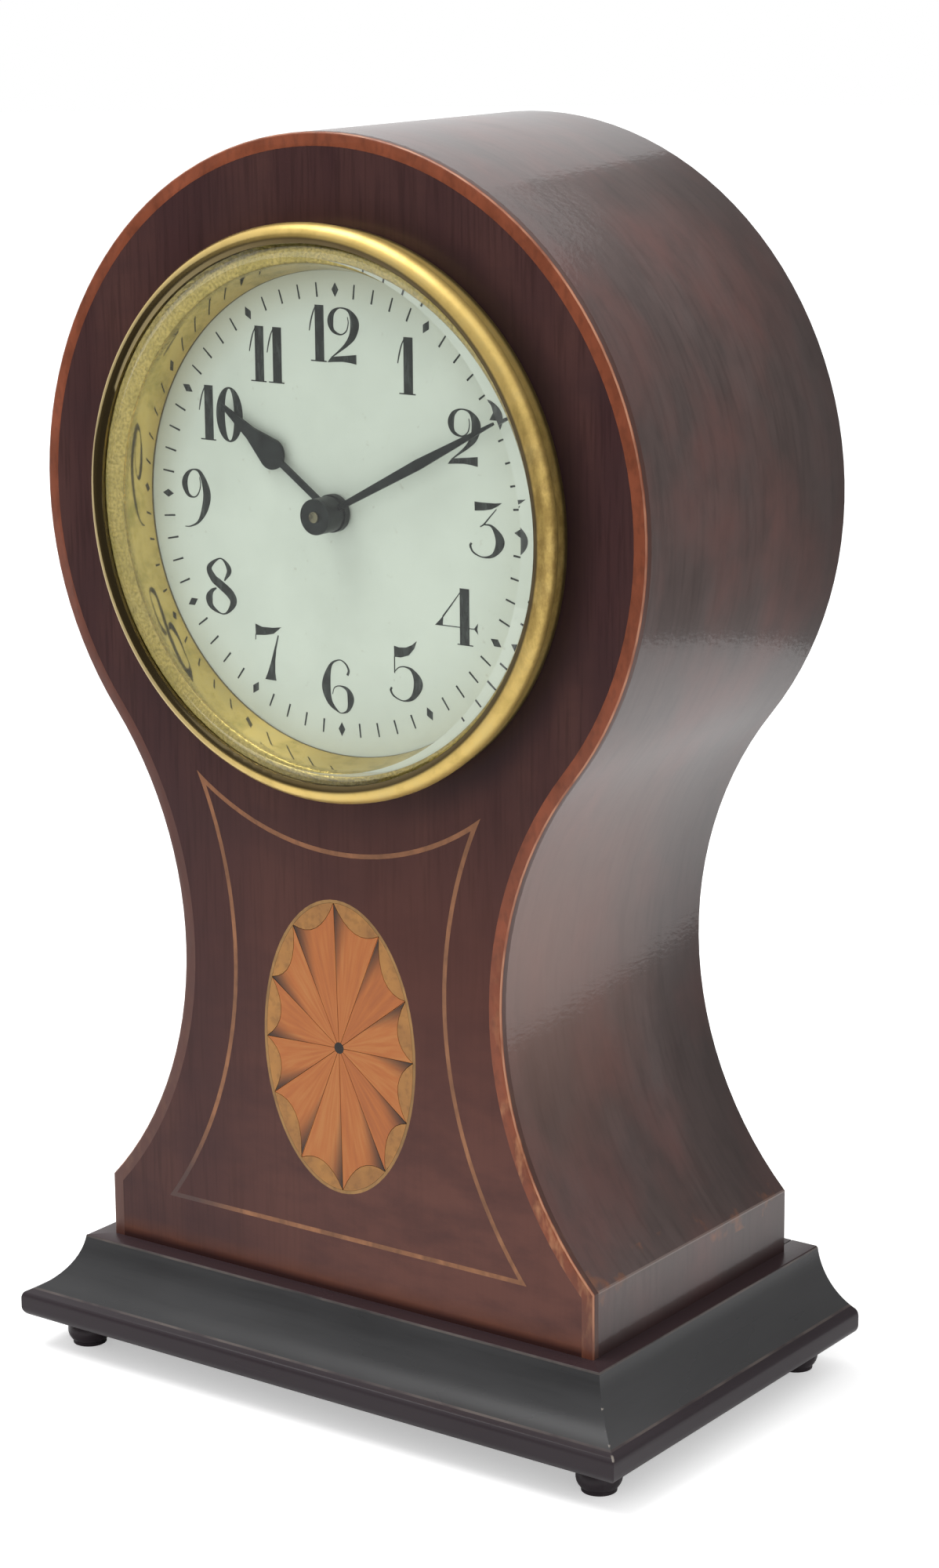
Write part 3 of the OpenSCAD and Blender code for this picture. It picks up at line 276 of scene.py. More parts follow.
def grained_wood(name, dark, light, grain, band, shine, pores=0.5, gloss=0.4, relief=0.15):
    """Polished wood: slow bands of colour along the grain, fine dark pores and a shine that varies with them."""
    mat, shader, place = blank(name)
    # Real pores are finer; the grain is drawn as coarse as it needs to show.
    streak = patchy(mat, place, grain, 3.0)
    bands = patchy(mat, place, band, 4.0)
    ground = add(mat, "ValToRGB", {"Fac": bands}, stops=[(0.34, dark), (0.66, light)])
    pore = add(mat, "ValToRGB", {"Fac": streak}, stops=[(0.34, grey(1 - pores)), (0.52, grey(1))])
    mixed = add(mat, "Mix", {0: 1.0, MIX_A: ground, MIX_B: pore}, data_type="RGBA", blend_type="MULTIPLY")
    colour = mixed.outputs[MIX_OUT]
    rough = add(mat, "MapRange", {"Value": bands, "To Min": shine - 0.07, "To Max": shine + 0.09})
    bump = add(mat, "Bump", {"Height": streak, "Strength": relief, "Distance": RELIEF})
    feed(mat, shader, {"Roughness": rough, "Normal": bump, "Base Color": colour, "Specular IOR Level": gloss})
    return mat, shader, place, colour


def worn(mat, shader, colour, tint, *shares):
    """Lays a tint over the colour by the product of its shares, each from 0 to 1."""
    share = shares[0]
    for other in shares[1:]:
        share = add(mat, "Math", {0: share, 1: other}, operation="MULTIPLY")
    mixed = add(mat, "Mix", {0: share, MIX_A: colour, MIX_B: tint}, data_type="RGBA").outputs[MIX_OUT]
    feed(mat, shader, {"Base Color": mixed})
    return mixed


def front_mahogany(finish):
    """French-polished mahogany veneer with upright grain: near black-red above, warmer at the waist, faded to brown
    towards the foot, with painted shadow beside the bezel and painted shade where it meets the plinth."""
    mat, shader, place, colour = grained_wood(
        "french_polished_mahogany_front", finish.mahogany_dark, finish.mahogany_light,
        grain=(0.7, 2, 14), band=(11, 20, 90), shine=0.38, pores=0.24, gloss=0.13, relief=0.06)
    feed(mat, shader, {"Coat Weight": 0.1, "Coat Roughness": 0.2})
    x, _, z = add(mat, "SeparateXYZ", {"Vector": place}).outputs
    fade = add(mat, "MapRange", {"Value": z, "From Min": 118 * MM, "From Max": 30 * MM, "To Max": 0.75},
               interpolation_type="SMOOTHSTEP")
    lee = add(mat, "MapRange", {"Value": x, "From Min": -45 * MM, "From Max": 10 * MM, "To Min": 0.1})
    colour = worn(mat, shader, colour, finish.mahogany_faded, fade, lee)
    bloom = spotted(mat, place, (19, 19, 8), (0.42, 0), (0.72, 0.6), 6.0, 0.6)
    colour = worn(mat, shader, colour, linear("#3a2627"), bloom)
    under = add(mat, "MapRange", {"Value": z, "From Min": 140 * MM, "From Max": 95 * MM, "To Max": 0.5})
    above = add(mat, "MapRange", {"Value": z, "From Min": 45 * MM, "From Max": 85 * MM, "To Min": 0.1})
    colour = worn(mat, shader, colour, linear("#522a20"), under, above, lee)
    foot = add(mat, "MapRange", {"Value": z, "From Min": PLINTH_TOP + 5 * MM, "From Max": PLINTH_TOP, "To Max": 0.75})
    patch = patchy(mat, place, (7, 7, 2), 3.0)
    colour = worn(mat, shader, colour, linear("#7a4426"), foot, patch)
    # Painted shade: the veneer darkens just above the plinth, where the case meets it.
    plinth_shade = add(mat, "MapRange", {
        "Value": z, "From Min": PLINTH_TOP + 2 * MM, "From Max": PLINTH_TOP + 0.6 * MM, "To Max": 0.85})
    colour = worn(mat, shader, colour, linear("#291719"), plinth_shade)
    # Painted shadow: the veneer darkens in a ring beside the bezel, most towards its right.
    beside = add(mat, "MapRange", {
        "Value": from_dial(mat, place), "From Min": 60 * MM, "From Max": 52.5 * MM, "To Max": 0.8},
        interpolation_type="SMOOTHSTEP")
    right = add(mat, "MapRange", {"Value": x, "From Min": -5 * MM, "From Max": 35 * MM})
    worn(mat, shader, colour, linear("#20151a"), beside, right)
    return mat


def side_mahogany(finish):
    """The same veneer bent round the case, so its grain follows the outline: duller, clouded and stained, with a
    painted sheen at the waist, worn along the foot's corner, whose pale line is also a painted highlight, and painted
    shade at the rear and the foot."""
    mat, shader, place, colour = grained_wood(
        "french_polished_mahogany_sides", finish.side_dark, finish.side_light,
        grain=(14, 1.3, 14), band=(40, 13, 40), shine=0.38, pores=0.16, gloss=0.4, relief=0.08)
    scuff = patchy(mat, place, (0.9, 1.6, 0.9), 3.0)
    matt = add(mat, "Bump", {"Height": scuff, "Strength": 0.3, "Distance": 0.12 * MM})
    feed(mat, shader, {"Coat Weight": 0.5, "Coat Roughness": 0.09, "Coat Normal": matt})
    _, y, z = add(mat, "SeparateXYZ", {"Vector": place}).outputs
    clouds = spotted(mat, place, (26, 17, 26), (0.42, 0), (0.64, 0.6), 5.0)
    colour = worn(mat, shader, colour, linear("#694743"), clouds)
    stains = spotted(mat, place, (8, 5, 8), (0.45, 0), (0.7, 0.35), 6.0, 0.65)
    colour = worn(mat, shader, colour, linear("#3d3534"), stains)
    # Painted sheen: a lighter patch on the side at the waist.
    sheen_distance = add(mat, "VectorMath", {0: place, 1: SHEEN_AT}, operation="DISTANCE")
    sheen_and_rubbing = add(mat, "MapRange", {
        "Value": sheen_distance.outputs["Value"], "From Min": 5 * MM, "From Max": 48 * MM, "To Min": 0.5, "To Max": 0.0})
    colour = worn(mat, shader, colour, linear("#8a6254"), sheen_and_rubbing)
    # Painted shade: the side darkens towards its rear edge.
    rear = add(mat, "MapRange", {"Value": y, "From Min": BACK_Y - 26 * MM, "From Max": BACK_Y, "To Max": 0.55},
               interpolation_type="SMOOTHSTEP")
    colour = worn(mat, shader, colour, linear("#332d2d"), rear)
    # Painted shade: the side darkens low down towards the plinth.
    foot_shade = add(mat, "MapRange", {
        "Value": z, "From Min": PLINTH_TOP + 11 * MM, "From Max": PLINTH_TOP + 1 * MM, "To Max": 0.8})
    colour = worn(mat, shader, colour, linear("#2c1b1c"), foot_shade)
    # A pale line along the foot's corner: worn edge and painted highlight.
    arris = add(mat, "Math", {0: z, 1: PLINTH_TOP + 12.4 * MM, 2: 0.25 * MM}, operation="COMPARE")
    colour = worn(mat, shader, colour, linear("#a3928a"), arris, 0.3)
    kink = add(mat, "Math", {0: z, 1: PLINTH_TOP + 12.6 * MM, 2: 3.2 * MM}, operation="COMPARE")
    patches = spotted(mat, place, (9, 6, 6), (0.58, 0), (0.72, 0.8), 4.0)
    worn(mat, shader, colour, linear("#84543a"), kink, patches)
    return mat


def boxwood_line(name, colour, wear):
    """Boxwood stringing gone orange under old polish, worn pale in patches low down."""
    dark = [c * BOXWOOD_DARK for c in colour[:3]] + [1.0]
    mat, shader, place, ground = grained_wood(
        name, dark, colour, grain=(1.4, 1.4, 2.6), band=(6, 6, 12), shine=0.34, pores=0.2)
    _, _, z = add(mat, "SeparateXYZ", {"Vector": place}).outputs
    low = add(mat, "MapRange", {"Value": z, "From Min": 100 * MM, "From Max": 50 * MM, "To Max": wear})
    spots = spotted(mat, place, (2.2, 1.4, 5), (0.5, 0), (0.68, 1), 3.0)
    return mat, shader, place, worn(mat, shader, ground, linear("#b98258"), low, spots)


def edge_boxwood(finish):
    """The case's edge line: orange in front, darker low down on the left, its corner a pale thread of painted highlight
    broken by worn patches, and its side as dark as the veneer that it meets."""
    mat, shader, place, colour = boxwood_line("boxwood_edge_stringing", finish.stringing, wear=0.6)
    x, y, z = add(mat, "SeparateXYZ", {"Vector": place}).outputs
    # Darker low down on the left side.
    low = add(mat, "MapRange", {"Value": z, "From Min": 190 * MM, "From Max": 110 * MM, "To Max": 0.85},
              interpolation_type="SMOOTHSTEP")
    left = add(mat, "Math", {0: x, 1: -10 * MM}, operation="LESS_THAN")
    colour = worn(mat, shader, colour, linear("#4a2f2b"), low, left)
    foot = add(mat, "MapRange", {
        "Value": z, "From Min": PLINTH_TOP + 18 * MM, "From Max": PLINTH_TOP + 8 * MM, "To Max": 0.65})
    colour = worn(mat, shader, colour, linear("#56352c"), foot)
    # Painted highlight: a pale thread along the string's outer corner, broken by worn patches.
    sheen_and_rubbing = spotted(mat, place, (5, 5, 9), (0.35, 0.15), (0.6, 0.75), 3.0)
    corner = add(mat, "Math", {0: y, 1: FACE_Y + 0.22 * MM, 2: 0.16 * MM}, operation="COMPARE")
    colour = worn(mat, shader, colour, linear("#c08a6c"), corner, sheen_and_rubbing)
    side = add(mat, "MapRange", {
        "Value": y, "From Min": FACE_Y + 0.4 * MM, "From Max": FACE_Y + 0.6 * MM, "To Max": 0.9})
    worn(mat, shader, colour, linear("#4a3733"), side)
    return mat


def panel_boxwood():
    """The thin panel line: dull brown-orange, worn away round its lower left corner."""
    mat, shader, place, colour = boxwood_line("boxwood_panel_stringing", linear("#8e5d3c"), wear=0.25)
    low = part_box("panel_stringing")[0]
    corner = add(mat, "VectorMath", {0: place, 1: (low.x, FACE_Y, low.z)}, operation="DISTANCE")
    lost = add(mat, "MapRange", {
        "Value": corner.outputs["Value"], "From Min": 7 * MM, "From Max": 20 * MM, "To Min": 0.95, "To Max": 0.0})
    worn(mat, shader, colour, linear("#46302d"), lost)
    return mat


def shaded_satinwood(finish):
    """Satinwood petals scorched in hot sand: each is orange, with a brown-black shadow beside its first cusp."""
    mat, shader, place = blank("sand_shaded_satinwood")
    x, _, z = add(mat, "SeparateXYZ", {"Vector": place}).outputs
    across = add(mat, "Math", {0: x, 1: PATERA_HALF[0]}, operation="DIVIDE")
    rise = add(mat, "Math", {0: z, 1: PATERA_Z}, operation="SUBTRACT")
    up = add(mat, "Math", {0: rise, 1: PATERA_HALF[1]}, operation="DIVIDE")
    angle = add(mat, "Math", {0: across, 1: up}, operation="ARCTAN2")
    turn = add(mat, "Math", {0: angle, 1: 1 / math.tau, 2: -CUSPS[0] / 360}, operation="MULTIPLY_ADD")
    lap = add(mat, "Math", {0: turn}, operation="FRACT")
    evened = add(mat, "FloatCurve", {"Value": lap})
    for k, cusp in enumerate(CUSPS[1:], 1):
        evened.mapping.curves[0].points.new((cusp - CUSPS[0]) / 360, k / len(CUSPS)).handle_type = "VECTOR"
    evened.mapping.update()
    count = add(mat, "Math", {0: evened, 1: float(len(CUSPS))}, operation="MULTIPLY")
    share = add(mat, "Math", {0: count}, operation="FRACT")
    index = add(mat, "Math", {0: count}, operation="FLOOR")
    flat = add(mat, "CombineXYZ", {"X": across, "Y": up})
    out = add(mat, "VectorMath", {0: flat}, operation="LENGTH")
    tone = add(mat, "TexWhiteNoise", {"W": index}, noise_dimensions="1D")
    rays = add(mat, "CombineXYZ", {"X": count, "Y": out.outputs["Value"], "Z": index})
    # Streaks to a petal's width, to the fan's radius, and from petal to petal.
    grain_place = add(mat, "Mapping", {"Vector": rays, "Scale": (9, 2.5, 3)})
    grain = add(mat, "TexNoise", {"Vector": grain_place, "Scale": 1.0, "Detail": 4.0})
    mix = add(mat, "Math", {0: tone.outputs["Value"], 1: 0.3, 2: grain}, operation="MULTIPLY_ADD")
    ground = add(mat, "ValToRGB", {"Fac": mix}, stops=[
        (0.35, linear("#9c582d")), (0.65, finish.satinwood), (0.9, linear("#b1713b"))])
    reach = add(mat, "MapRange", {
        "Value": out.outputs["Value"], "From Min": 0.35, "From Max": 0.97, "To Min": 0.02, "To Max": 0.55})
    side = add(mat, "Math", {0: share, 1: reach}, operation="DIVIDE")
    edge = add(mat, "ValToRGB", {"Fac": side}, stops=[
        (0.0, grey(1)), (0.25, grey(0.72)), (0.6, grey(0.25)), (1.0, grey(0))])
    depth = add(mat, "MapRange", {"Value": out.outputs["Value"], "From Min": 0.3, "From Max": 0.92, "To Min": 0.2})
    worn(mat, shader, ground, linear("#2b221d"), edge, depth)
    bump = add(mat, "Bump", {"Height": grain, "Strength": 0.1, "Distance": RELIEF})
    feed(mat, shader, {"Roughness": 0.36, "Specular IOR Level": 0.35, "Normal": bump})
    return mat


def ebonised_wood(finish):
    """Close-grained wood stained black and polished: satin, slightly brushed, its sharp edges worn to thin grey lines
    that are also a painted highlight, redder on the slab, with a painted red reflection on the ledge, lighter on the
    near side as painted light, and chipped along the near mitre."""
    mat, shader, place, colour = grained_wood(
        "ebonised_wood", finish.ebony, linear("#39393a"),
        grain=(16, 16, 0.8), band=(40, 40, 9), shine=0.28, pores=0.07, gloss=0.2, relief=0.05)
    x, y, z = add(mat, "SeparateXYZ", {"Vector": place}).outputs
    sum_xy = add(mat, "Math", {0: x, 1: y}, operation="ADD")
    # Painted light: the mouldings on the near side are tinted a lighter grey.
    behind = add(mat, "Math", {0: sum_xy, 1: MITRE_SUM}, operation="GREATER_THAN")
    beyond = add(mat, "Math", {0: x, 1: FOOT_HALF_W}, operation="GREATER_THAN")
    colour = worn(mat, shader, colour, linear("#4e4e4f"), behind, beyond, 0.5)
    low = add(mat, "Math", {0: z, 1: SLAB_TOP}, operation="LESS_THAN")
    high = add(mat, "Math", {0: z, 1: PLINTH_TOP - 0.1 * MM}, operation="GREATER_THAN")
    colour = worn(mat, shader, colour, linear("#30272c"), low, 0.75)
    # Painted reflection: the ledge takes a dark red from the case above it.
    colour = worn(mat, shader, colour, linear("#38282b"), high, 0.85)
    # Pale lines along the ledge's rim and the slab's top edge: worn arrises and painted highlight.
    spots = spotted(mat, place, (9, 9, 9), (0.36, 0.15), (0.62, 0.8), 5.0)
    ledge = add(mat, "Math", {0: z, 1: PLINTH_TOP - 0.25 * MM, 2: 0.2 * MM}, operation="COMPARE")
    front = add(mat, "Math", {0: y, 1: FACE_Y - LEDGE_RIM}, operation="LESS_THAN")
    aside = add(mat, "Math", {0: x}, operation="ABSOLUTE")
    flank = add(mat, "Math", {0: aside, 1: FOOT_HALF_W + LEDGE_RIM}, operation="GREATER_THAN")
    outer = add(mat, "Math", {0: front, 1: flank}, operation="MAXIMUM")
    rim = add(mat, "Math", {0: ledge, 1: outer}, operation="MULTIPLY")
    slab = add(mat, "Math", {0: z, 1: SLAB_TOP - 0.1 * MM, 2: 0.12 * MM}, operation="COMPARE")
    edges = add(mat, "Math", {0: rim, 1: slab}, operation="MAXIMUM")
    colour = worn(mat, shader, colour, linear("#625a56"), edges, spots)
    diagonal = add(mat, "Math", {0: sum_xy, 1: MITRE_SUM, 2: 0.3 * MM}, operation="COMPARE")
    chips = spotted(mat, place, (4, 4, 1.1), (0.58, 0), (0.66, 0.6))
    belt = add(mat, "Math", {0: z, 1: SLAB_TOP + 3 * MM, 2: 4.5 * MM}, operation="COMPARE")
    worn(mat, shader, colour, linear("#a39b92"), diagonal, beyond, belt, chips)
    return mat


def turned_brass(finish, name, dull, rough, dimple, tarnish=0.0):
    """Lacquered sheet brass spun on a lathe: warm mirror with fine rings, browned in patches where the lacquer went
    and, by the share given, gone satin towards the right."""
    mat, shader, place = blank(name)
    radius = from_dial(mat, place)
    # Real lathe marks are finer; these are as coarse as they need to show.
    rings = add(mat, "TexNoise", {"W": radius, "Scale": 1 / (0.4 * MM)}, noise_dimensions="1D")
    patch = patchy(mat, place, (7, 5, 7), 6.0, 0.65)
    ground = add(mat, "ValToRGB", {"Fac": patch}, stops=[(0.3, dull), (0.52, finish.brass), (0.75, linear("#d8c07c"))])
    shine = add(mat, "MapRange", {"Value": patch, "To Min": 1.6 * rough, "To Max": 0.6 * rough})
    speck = patchy(mat, place, (1.1, 1.1, 1.1))
    turned = add(mat, "Bump", {"Height": rings, "Strength": 0.05, "Distance": RELIEF})
    bump = add(mat, "Bump", {"Height": speck, "Normal": turned, "Strength": dimple, "Distance": RELIEF})
    x, _, _ = add(mat, "SeparateXYZ", {"Vector": place}).outputs
    right = add(mat, "MapRange", {"Value": x, "From Min": -40 * MM, "From Max": 15 * MM, "To Max": tarnish})
    satin = add(mat, "Math", {0: right, 1: 0.33, 2: shine}, operation="MULTIPLY_ADD")
    bare = add(mat, "Math", {0: right, 1: -0.3, 2: 1.0}, operation="MULTIPLY_ADD")
    feed(mat, shader, {"Base Color": ground, "Roughness": satin, "Normal": bump, "Metallic": bare})
    return mat, shader, place, ground, bump


def bezel_brass(finish):
    """The bezel's brass: speckled from handling at the right, with a painted dark reflection on its inner slope at the
    left, and painted shadow along the glass and where it meets the wood."""
    mat, shader, place, colour, _ = turned_brass(
        finish, "spun_brass_bezel", linear("#c9ad62"), rough=0.1, dimple=0.06, tarnish=1.0)
    x, y, z = add(mat, "SeparateXYZ", {"Vector": place}).outputs
    specks = spotted(mat, place, (1.3, 2.5, 3.2), (0.34, 0.2), (0.62, 0.9), 6.0, 0.7)
    near = add(mat, "MapRange", {"Value": x, "From Min": 34 * MM, "From Max": 49 * MM, "To Min": 0.1, "To Max": 0.85})
    height = add(mat, "Math", {0: z, 1: DIAL_Z}, operation="SUBTRACT")
    away = add(mat, "Math", {0: height}, operation="ABSOLUTE")
    level = add(mat, "MapRange", {
        "Value": away, "From Min": 10 * MM, "From Max": 34 * MM, "To Min": 1.0, "To Max": 0.25})
    colour = worn(mat, shader, colour, linear("#93773f"), specks, near, level)
    radius = from_dial(mat, place)
    # Painted reflection: the bead's inner slope darkens towards the left.
    slope = add(mat, "MapRange", {"Value": radius, "From Min": 51.6 * MM, "From Max": 50.7 * MM})
    left = add(mat, "MapRange", {"Value": x, "From Min": -5 * MM, "From Max": -36 * MM, "To Max": 0.85})
    # Painted shadow: a dark ring on the bezel along the glass's edge.
    lip_shadow = add(mat, "MapRange", {"Value": radius, "From Min": 50.0 * MM, "From Max": 49.6 * MM, "To Max": 0.9})
    colour = worn(mat, shader, colour, linear("#3c3122"), lip_shadow)
    colour = worn(mat, shader, colour, linear("#8a7d5c"), slope, left)
    # Painted shadow where the bezel meets the wood.
    foot = add(mat, "MapRange", {
        "Value": y, "From Min": FACE_Y - 1.6 * MM, "From Max": FACE_Y - 0.4 * MM, "To Max": 0.85},
        interpolation_type="SMOOTHSTEP")
    worn(mat, shader, colour, linear("#2c2015"), foot)
    return mat


def ring_brass(finish):
    """The sight ring's brass: a clear mirror beside the dial with a painted shadow line at its foot, and frosted on the
    flange under the glass."""
    mat, shader, place, colour, smooth = turned_brass(
        finish, "polished_brass_sight_ring", linear("#b9a458"), rough=0.025, dimple=0.01)
    _, y, _ = add(mat, "SeparateXYZ", {"Vector": place}).outputs
    # Painted shadow: a dark line at the wall's foot beside the dial.
    foot = add(mat, "MapRange", {
        "Value": y, "From Min": DIAL_Y - 0.5 * MM, "From Max": DIAL_Y - 0.3 * MM, "To Max": 0.85})
    colour = worn(mat, shader, colour, linear("#4a3d2c"), foot)
    flange = add(mat, "MapRange", {"Value": y, "From Min": DIAL_Y - 5.2 * MM, "From Max": DIAL_Y - 6.6 * MM})
    rough = add(mat, "Math", {0: flange, 1: 0.22, 2: 0.06}, operation="MULTIPLY_ADD")
    frost = patchy(mat, place, (0.6, 0.6, 0.6), 4.0)
    pitted = add(mat, "ValToRGB", {"Fac": frost}, stops=[(0.3, grey(1)), (0.6, grey(0.4))])
    worn(mat, shader, colour, linear("#978548"), flange, pitted)
    grain = add(mat, "Bump", {"Height": frost, "Normal": smooth, "Strength": flange, "Distance": 0.15 * MM})
    feed(mat, shader, {"Roughness": rough, "Normal": grain})
    return mat


def clear_glass():
    """Old plate glass with a cut bevel: clear, hard and faintly green."""
    mat, shader, place = blank("plate_glass")
    swell = patchy(mat, place, (18, 18, 18))
    bump = add(mat, "Bump", {"Height": swell, "Strength": 0.02, "Distance": 0.1 * MM})
    feed(mat, shader, {
        "Normal": bump, "Base Color": linear("#f6fbf8"), "Roughness": 0.0, "IOR": 1.5, "Transmission Weight": 1.0})
    return mat


def dial_white(finish):
    """White enamel paint on brass: smooth and slightly yellowed at the rim, with painted shade there towards the upper
    left, and faint specks of age.
    """
    mat, shader, place = blank("white_dial_enamel")
    radius = from_dial(mat, place)
    cloud = patchy(mat, place, (22, 22, 22), 4.0)
    # The rim yellows, and towards the upper left it darkens further with painted shade.
    rim = add(mat, "MapRange", {"Value": radius, "From Min": 35 * MM, "From Max": 44 * MM})
    toward = add(mat, "VectorMath", {0: place, 1: UPPER_LEFT}, operation="DOT_PRODUCT")
    middle = UPPER_LEFT[2] * DIAL_Z
    lee = add(mat, "MapRange", {
        "Value": toward.outputs["Value"], "From Min": middle + 15 * MM, "From Max": middle + 38 * MM,
        "To Min": 0.08, "To Max": 0.8})
    ground = add(mat, "ValToRGB", {"Fac": cloud}, stops=[(0.35, linear("#c4ccbf")), (0.6, finish.enamel)])
    colour = worn(mat, shader, ground, linear("#a3a187"), rim, lee)
    specks = spotted(mat, place, (1.3, 1.3, 1.3), (0.7, 0), (0.78, 0.25))
    worn(mat, shader, colour, linear("#8f8a72"), specks)
    feed(mat, shader, {"Roughness": 0.38})
    return mat


def dial_black(finish):
    """Black printing ink, slightly worn so the white grins through."""
    mat, shader, place = blank("black_dial_ink")
    thin = patchy(mat, place, (0.7, 0.7, 3), 3.0)
    ground = add(mat, "ValToRGB", {"Fac": thin}, stops=[(0.5, finish.ink), (0.8, linear("#4a504c"))])
    feed(mat, shader, {"Base Color": ground, "Roughness": 0.5, "Specular IOR Level": 0.1})
    return mat


def hard_metal(name, dark, light, rough, spot_mm):
    """Ground and polished metal, faintly clouded in colour and shine."""
    mat, shader, place = blank(name)
    cloud = patchy(mat, place, (spot_mm, spot_mm, spot_mm), 4.0)
    ground = add(mat, "ValToRGB", {"Fac": cloud}, stops=[(0.35, dark), (0.65, light)])
    shine = add(mat, "MapRange", {"Value": cloud, "To Min": rough + 0.08, "To Max": rough - 0.08})
    feed(mat, shader, {"Base Color": ground, "Roughness": shine, "Metallic": 1.0})
    return mat


def dress(mat, *nodes):
    """Gives a finish to carried-over CAD nodes."""
    for name in nodes:
        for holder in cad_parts[name].material_slots:
            holder.material = mat


def own_copy(name, node):
    """A new piece from a CAD node's shape, merged into one surface and left in edit mode."""
    bpy.ops.object.select_all(action="DESELECT")
    piece = bpy.data.objects.new(name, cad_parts[node].data.copy())
    bpy.context.scene.collection.objects.link(piece)
    piece.select_set(True)
    bpy.context.view_layer.objects.active = piece
    bpy.ops.object.mode_set(mode="EDIT")
    bpy.ops.mesh.customdata_custom_splitnormals_clear()
    bpy.ops.mesh.select_all(action="SELECT")
    bpy.ops.mesh.remove_doubles(threshold=JOIN)
    bpy.ops.mesh.dissolve_limited(angle_limit=FLAT)
    return piece


def rounded(piece, wanted, width, mat, body, node):
    """Rounds the wanted edges of a piece in edit mode, then shades it, finishes it and puts it in its node's place."""
    bpy.ops.mesh.select_all(action="DESELECT")
    shape = bmesh.from_edit_mesh(piece.data)
    for edge in shape.edges:
        edge.select_set(len(edge.link_faces) == 2 and edge.calc_face_angle() > CREASE and wanted(edge))
    bmesh.update_edit_mesh(piece.data)
    bpy.ops.mesh.bevel(offset=width, segments=ROUND_STEPS, affect="EDGES", clamp_overlap=True)
    bpy.ops.object.mode_set(mode="OBJECT")
    bpy.ops.object.shade_smooth_by_angle(angle=SMOOTH)
    settle(piece, mat, body)
    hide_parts(node)
    return piece


def ribbon(points, steps=8):
    """Outline of a pen stroke through (x, height, half width) points, as one closed row of points."""
    rows = [Vector(p) for p in points]
    rows = [2 * rows[0] - rows[1], *rows, 2 * rows[-1] - rows[-2]]
    path = []
    for a, b, c, d in zip(rows, rows[1:], rows[2:], rows[3:]):
        for k in range(steps):
            t = k / steps
            bend = (2 * a - 5 * b + 4 * c - d) * t ** 2 + (3 * b - a - 3 * c + d) * t ** 3
            path.append(0.5 * (2 * b + (c - a) * t + bend))
    path.append(rows[-2])
    left, right = [], []
    for i, p in enumerate(path):
        run = path[min(i + 1, len(path) - 1)] - path[max(i - 1, 0)]
        out = Vector((-run.y, run.x)).normalized() * max(p.z, FINEST_PEN)
        left.append((p.x + out.x, p.y + out.y))
        right.append((p.x - out.x, p.y - out.y))
    return left + right[::-1]


def ellipse(middle, half, steps=64):
    """An oval outline as one closed row of points."""
    return [(middle[0] + half[0] * math.cos(k * math.tau / steps), middle[1] + half[1] * math.sin(k * math.tau / steps))
            for k in range(steps)]


def printed(name, outlines, thickness):
    """A flat printed shape from closed outlines in metres about the dial's centre; an inner outline is a hole."""
    bpy.ops.object.select_all(action="DESELECT")
    bpy.ops.curve.primitive_bezier_curve_add()
    shape = bpy.context.active_object
    shape.name = name
    drawing = shape.data
    drawing.dimensions, drawing.fill_mode = "2D", "BOTH"
    drawing.extrude = thickness / 2
    drawing.splines.clear()
    for outline in outlines:
        line = drawing.splines.new("POLY")
        line.points.add(len(outline) - 1)
        for point, (x, y) in zip(line.points, outline):
            point.co = (x, y, 0, 1)
        line.use_cyclic_u = True
    bpy.ops.object.convert(target="MESH")
    shape = bpy.context.active_object
    at = Matrix.Translation((PRINT_SHIFT, DIAL_Y - thickness / 2, DIAL_Z))
    shape.data.transform(at @ Matrix.Rotation(math.pi / 2, 4, "X"))
    return shape


def turned_shell(name, profile, wall, shift):
    """A thin turned ring round the dial; its inside is given as radius and height above the dial, in metres. All but
    its highest edge is shifted off the dial's axis."""
    bands = []
    for (low_r, low), (high_r, high) in zip(profile, profile[1:]):
        bpy.ops.object.select_all(action="DESELECT")
        bpy.ops.mesh.primitive_cone_add(
            vertices=RING_SIDES, radius1=low_r, radius2=high_r, depth=high - low, end_fill_type="NOTHING")
        band = bpy.context.active_object
        band.data.transform(Matrix.Translation((0, 0, (low + high) / 2)))
        bands.append(band)
    ring = joined(name, bands)
    bpy.ops.object.mode_set(mode="EDIT")
    bpy.ops.mesh.select_all(action="SELECT")
    bpy.ops.mesh.remove_doubles(threshold=JOIN)
    bpy.ops.object.mode_set(mode="OBJECT")
    for point in ring.data.vertices:
        if point.co.z < profile[-1][1] - NEAR:
            point.co += Vector((*shift, 0))
    bpy.ops.object.modifier_add(type="SOLIDIFY")
    ring.modifiers[-1].thickness = wall
    ring.modifiers[-1].offset = 1.0
    bpy.ops.object.modifier_apply(modifier=ring.modifiers[-1].name)
    bpy.ops.object.shade_smooth_by_angle(angle=RING_SMOOTH)
    ring.data.transform(Matrix.Translation((0, DIAL_Y, DIAL_Z)) @ Matrix.Rotation(math.pi / 2, 4, "X"))
    return ring


def joined(name, parts):
    """Several pieces as one."""
    bpy.ops.object.select_all(action="DESELECT")
    for part in parts:
        part.select_set(True)
    bpy.context.view_layer.objects.active = parts[0]
    bpy.ops.object.join()
    parts[0].name = name
    return parts[0]


def around(outline, turn):
    """An outline drawn at twelve o'clock, turned clockwise."""
    c, s = math.cos(turn), math.sin(turn)
    return [(x * c + y * s, y * c - x * s) for x, y in outline]


def settle(piece, mat, body):
    """Gives a new piece its finish and its body."""
    piece.data.materials.clear()
    piece.data.materials.append(mat)
    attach(piece, body)
    return piece


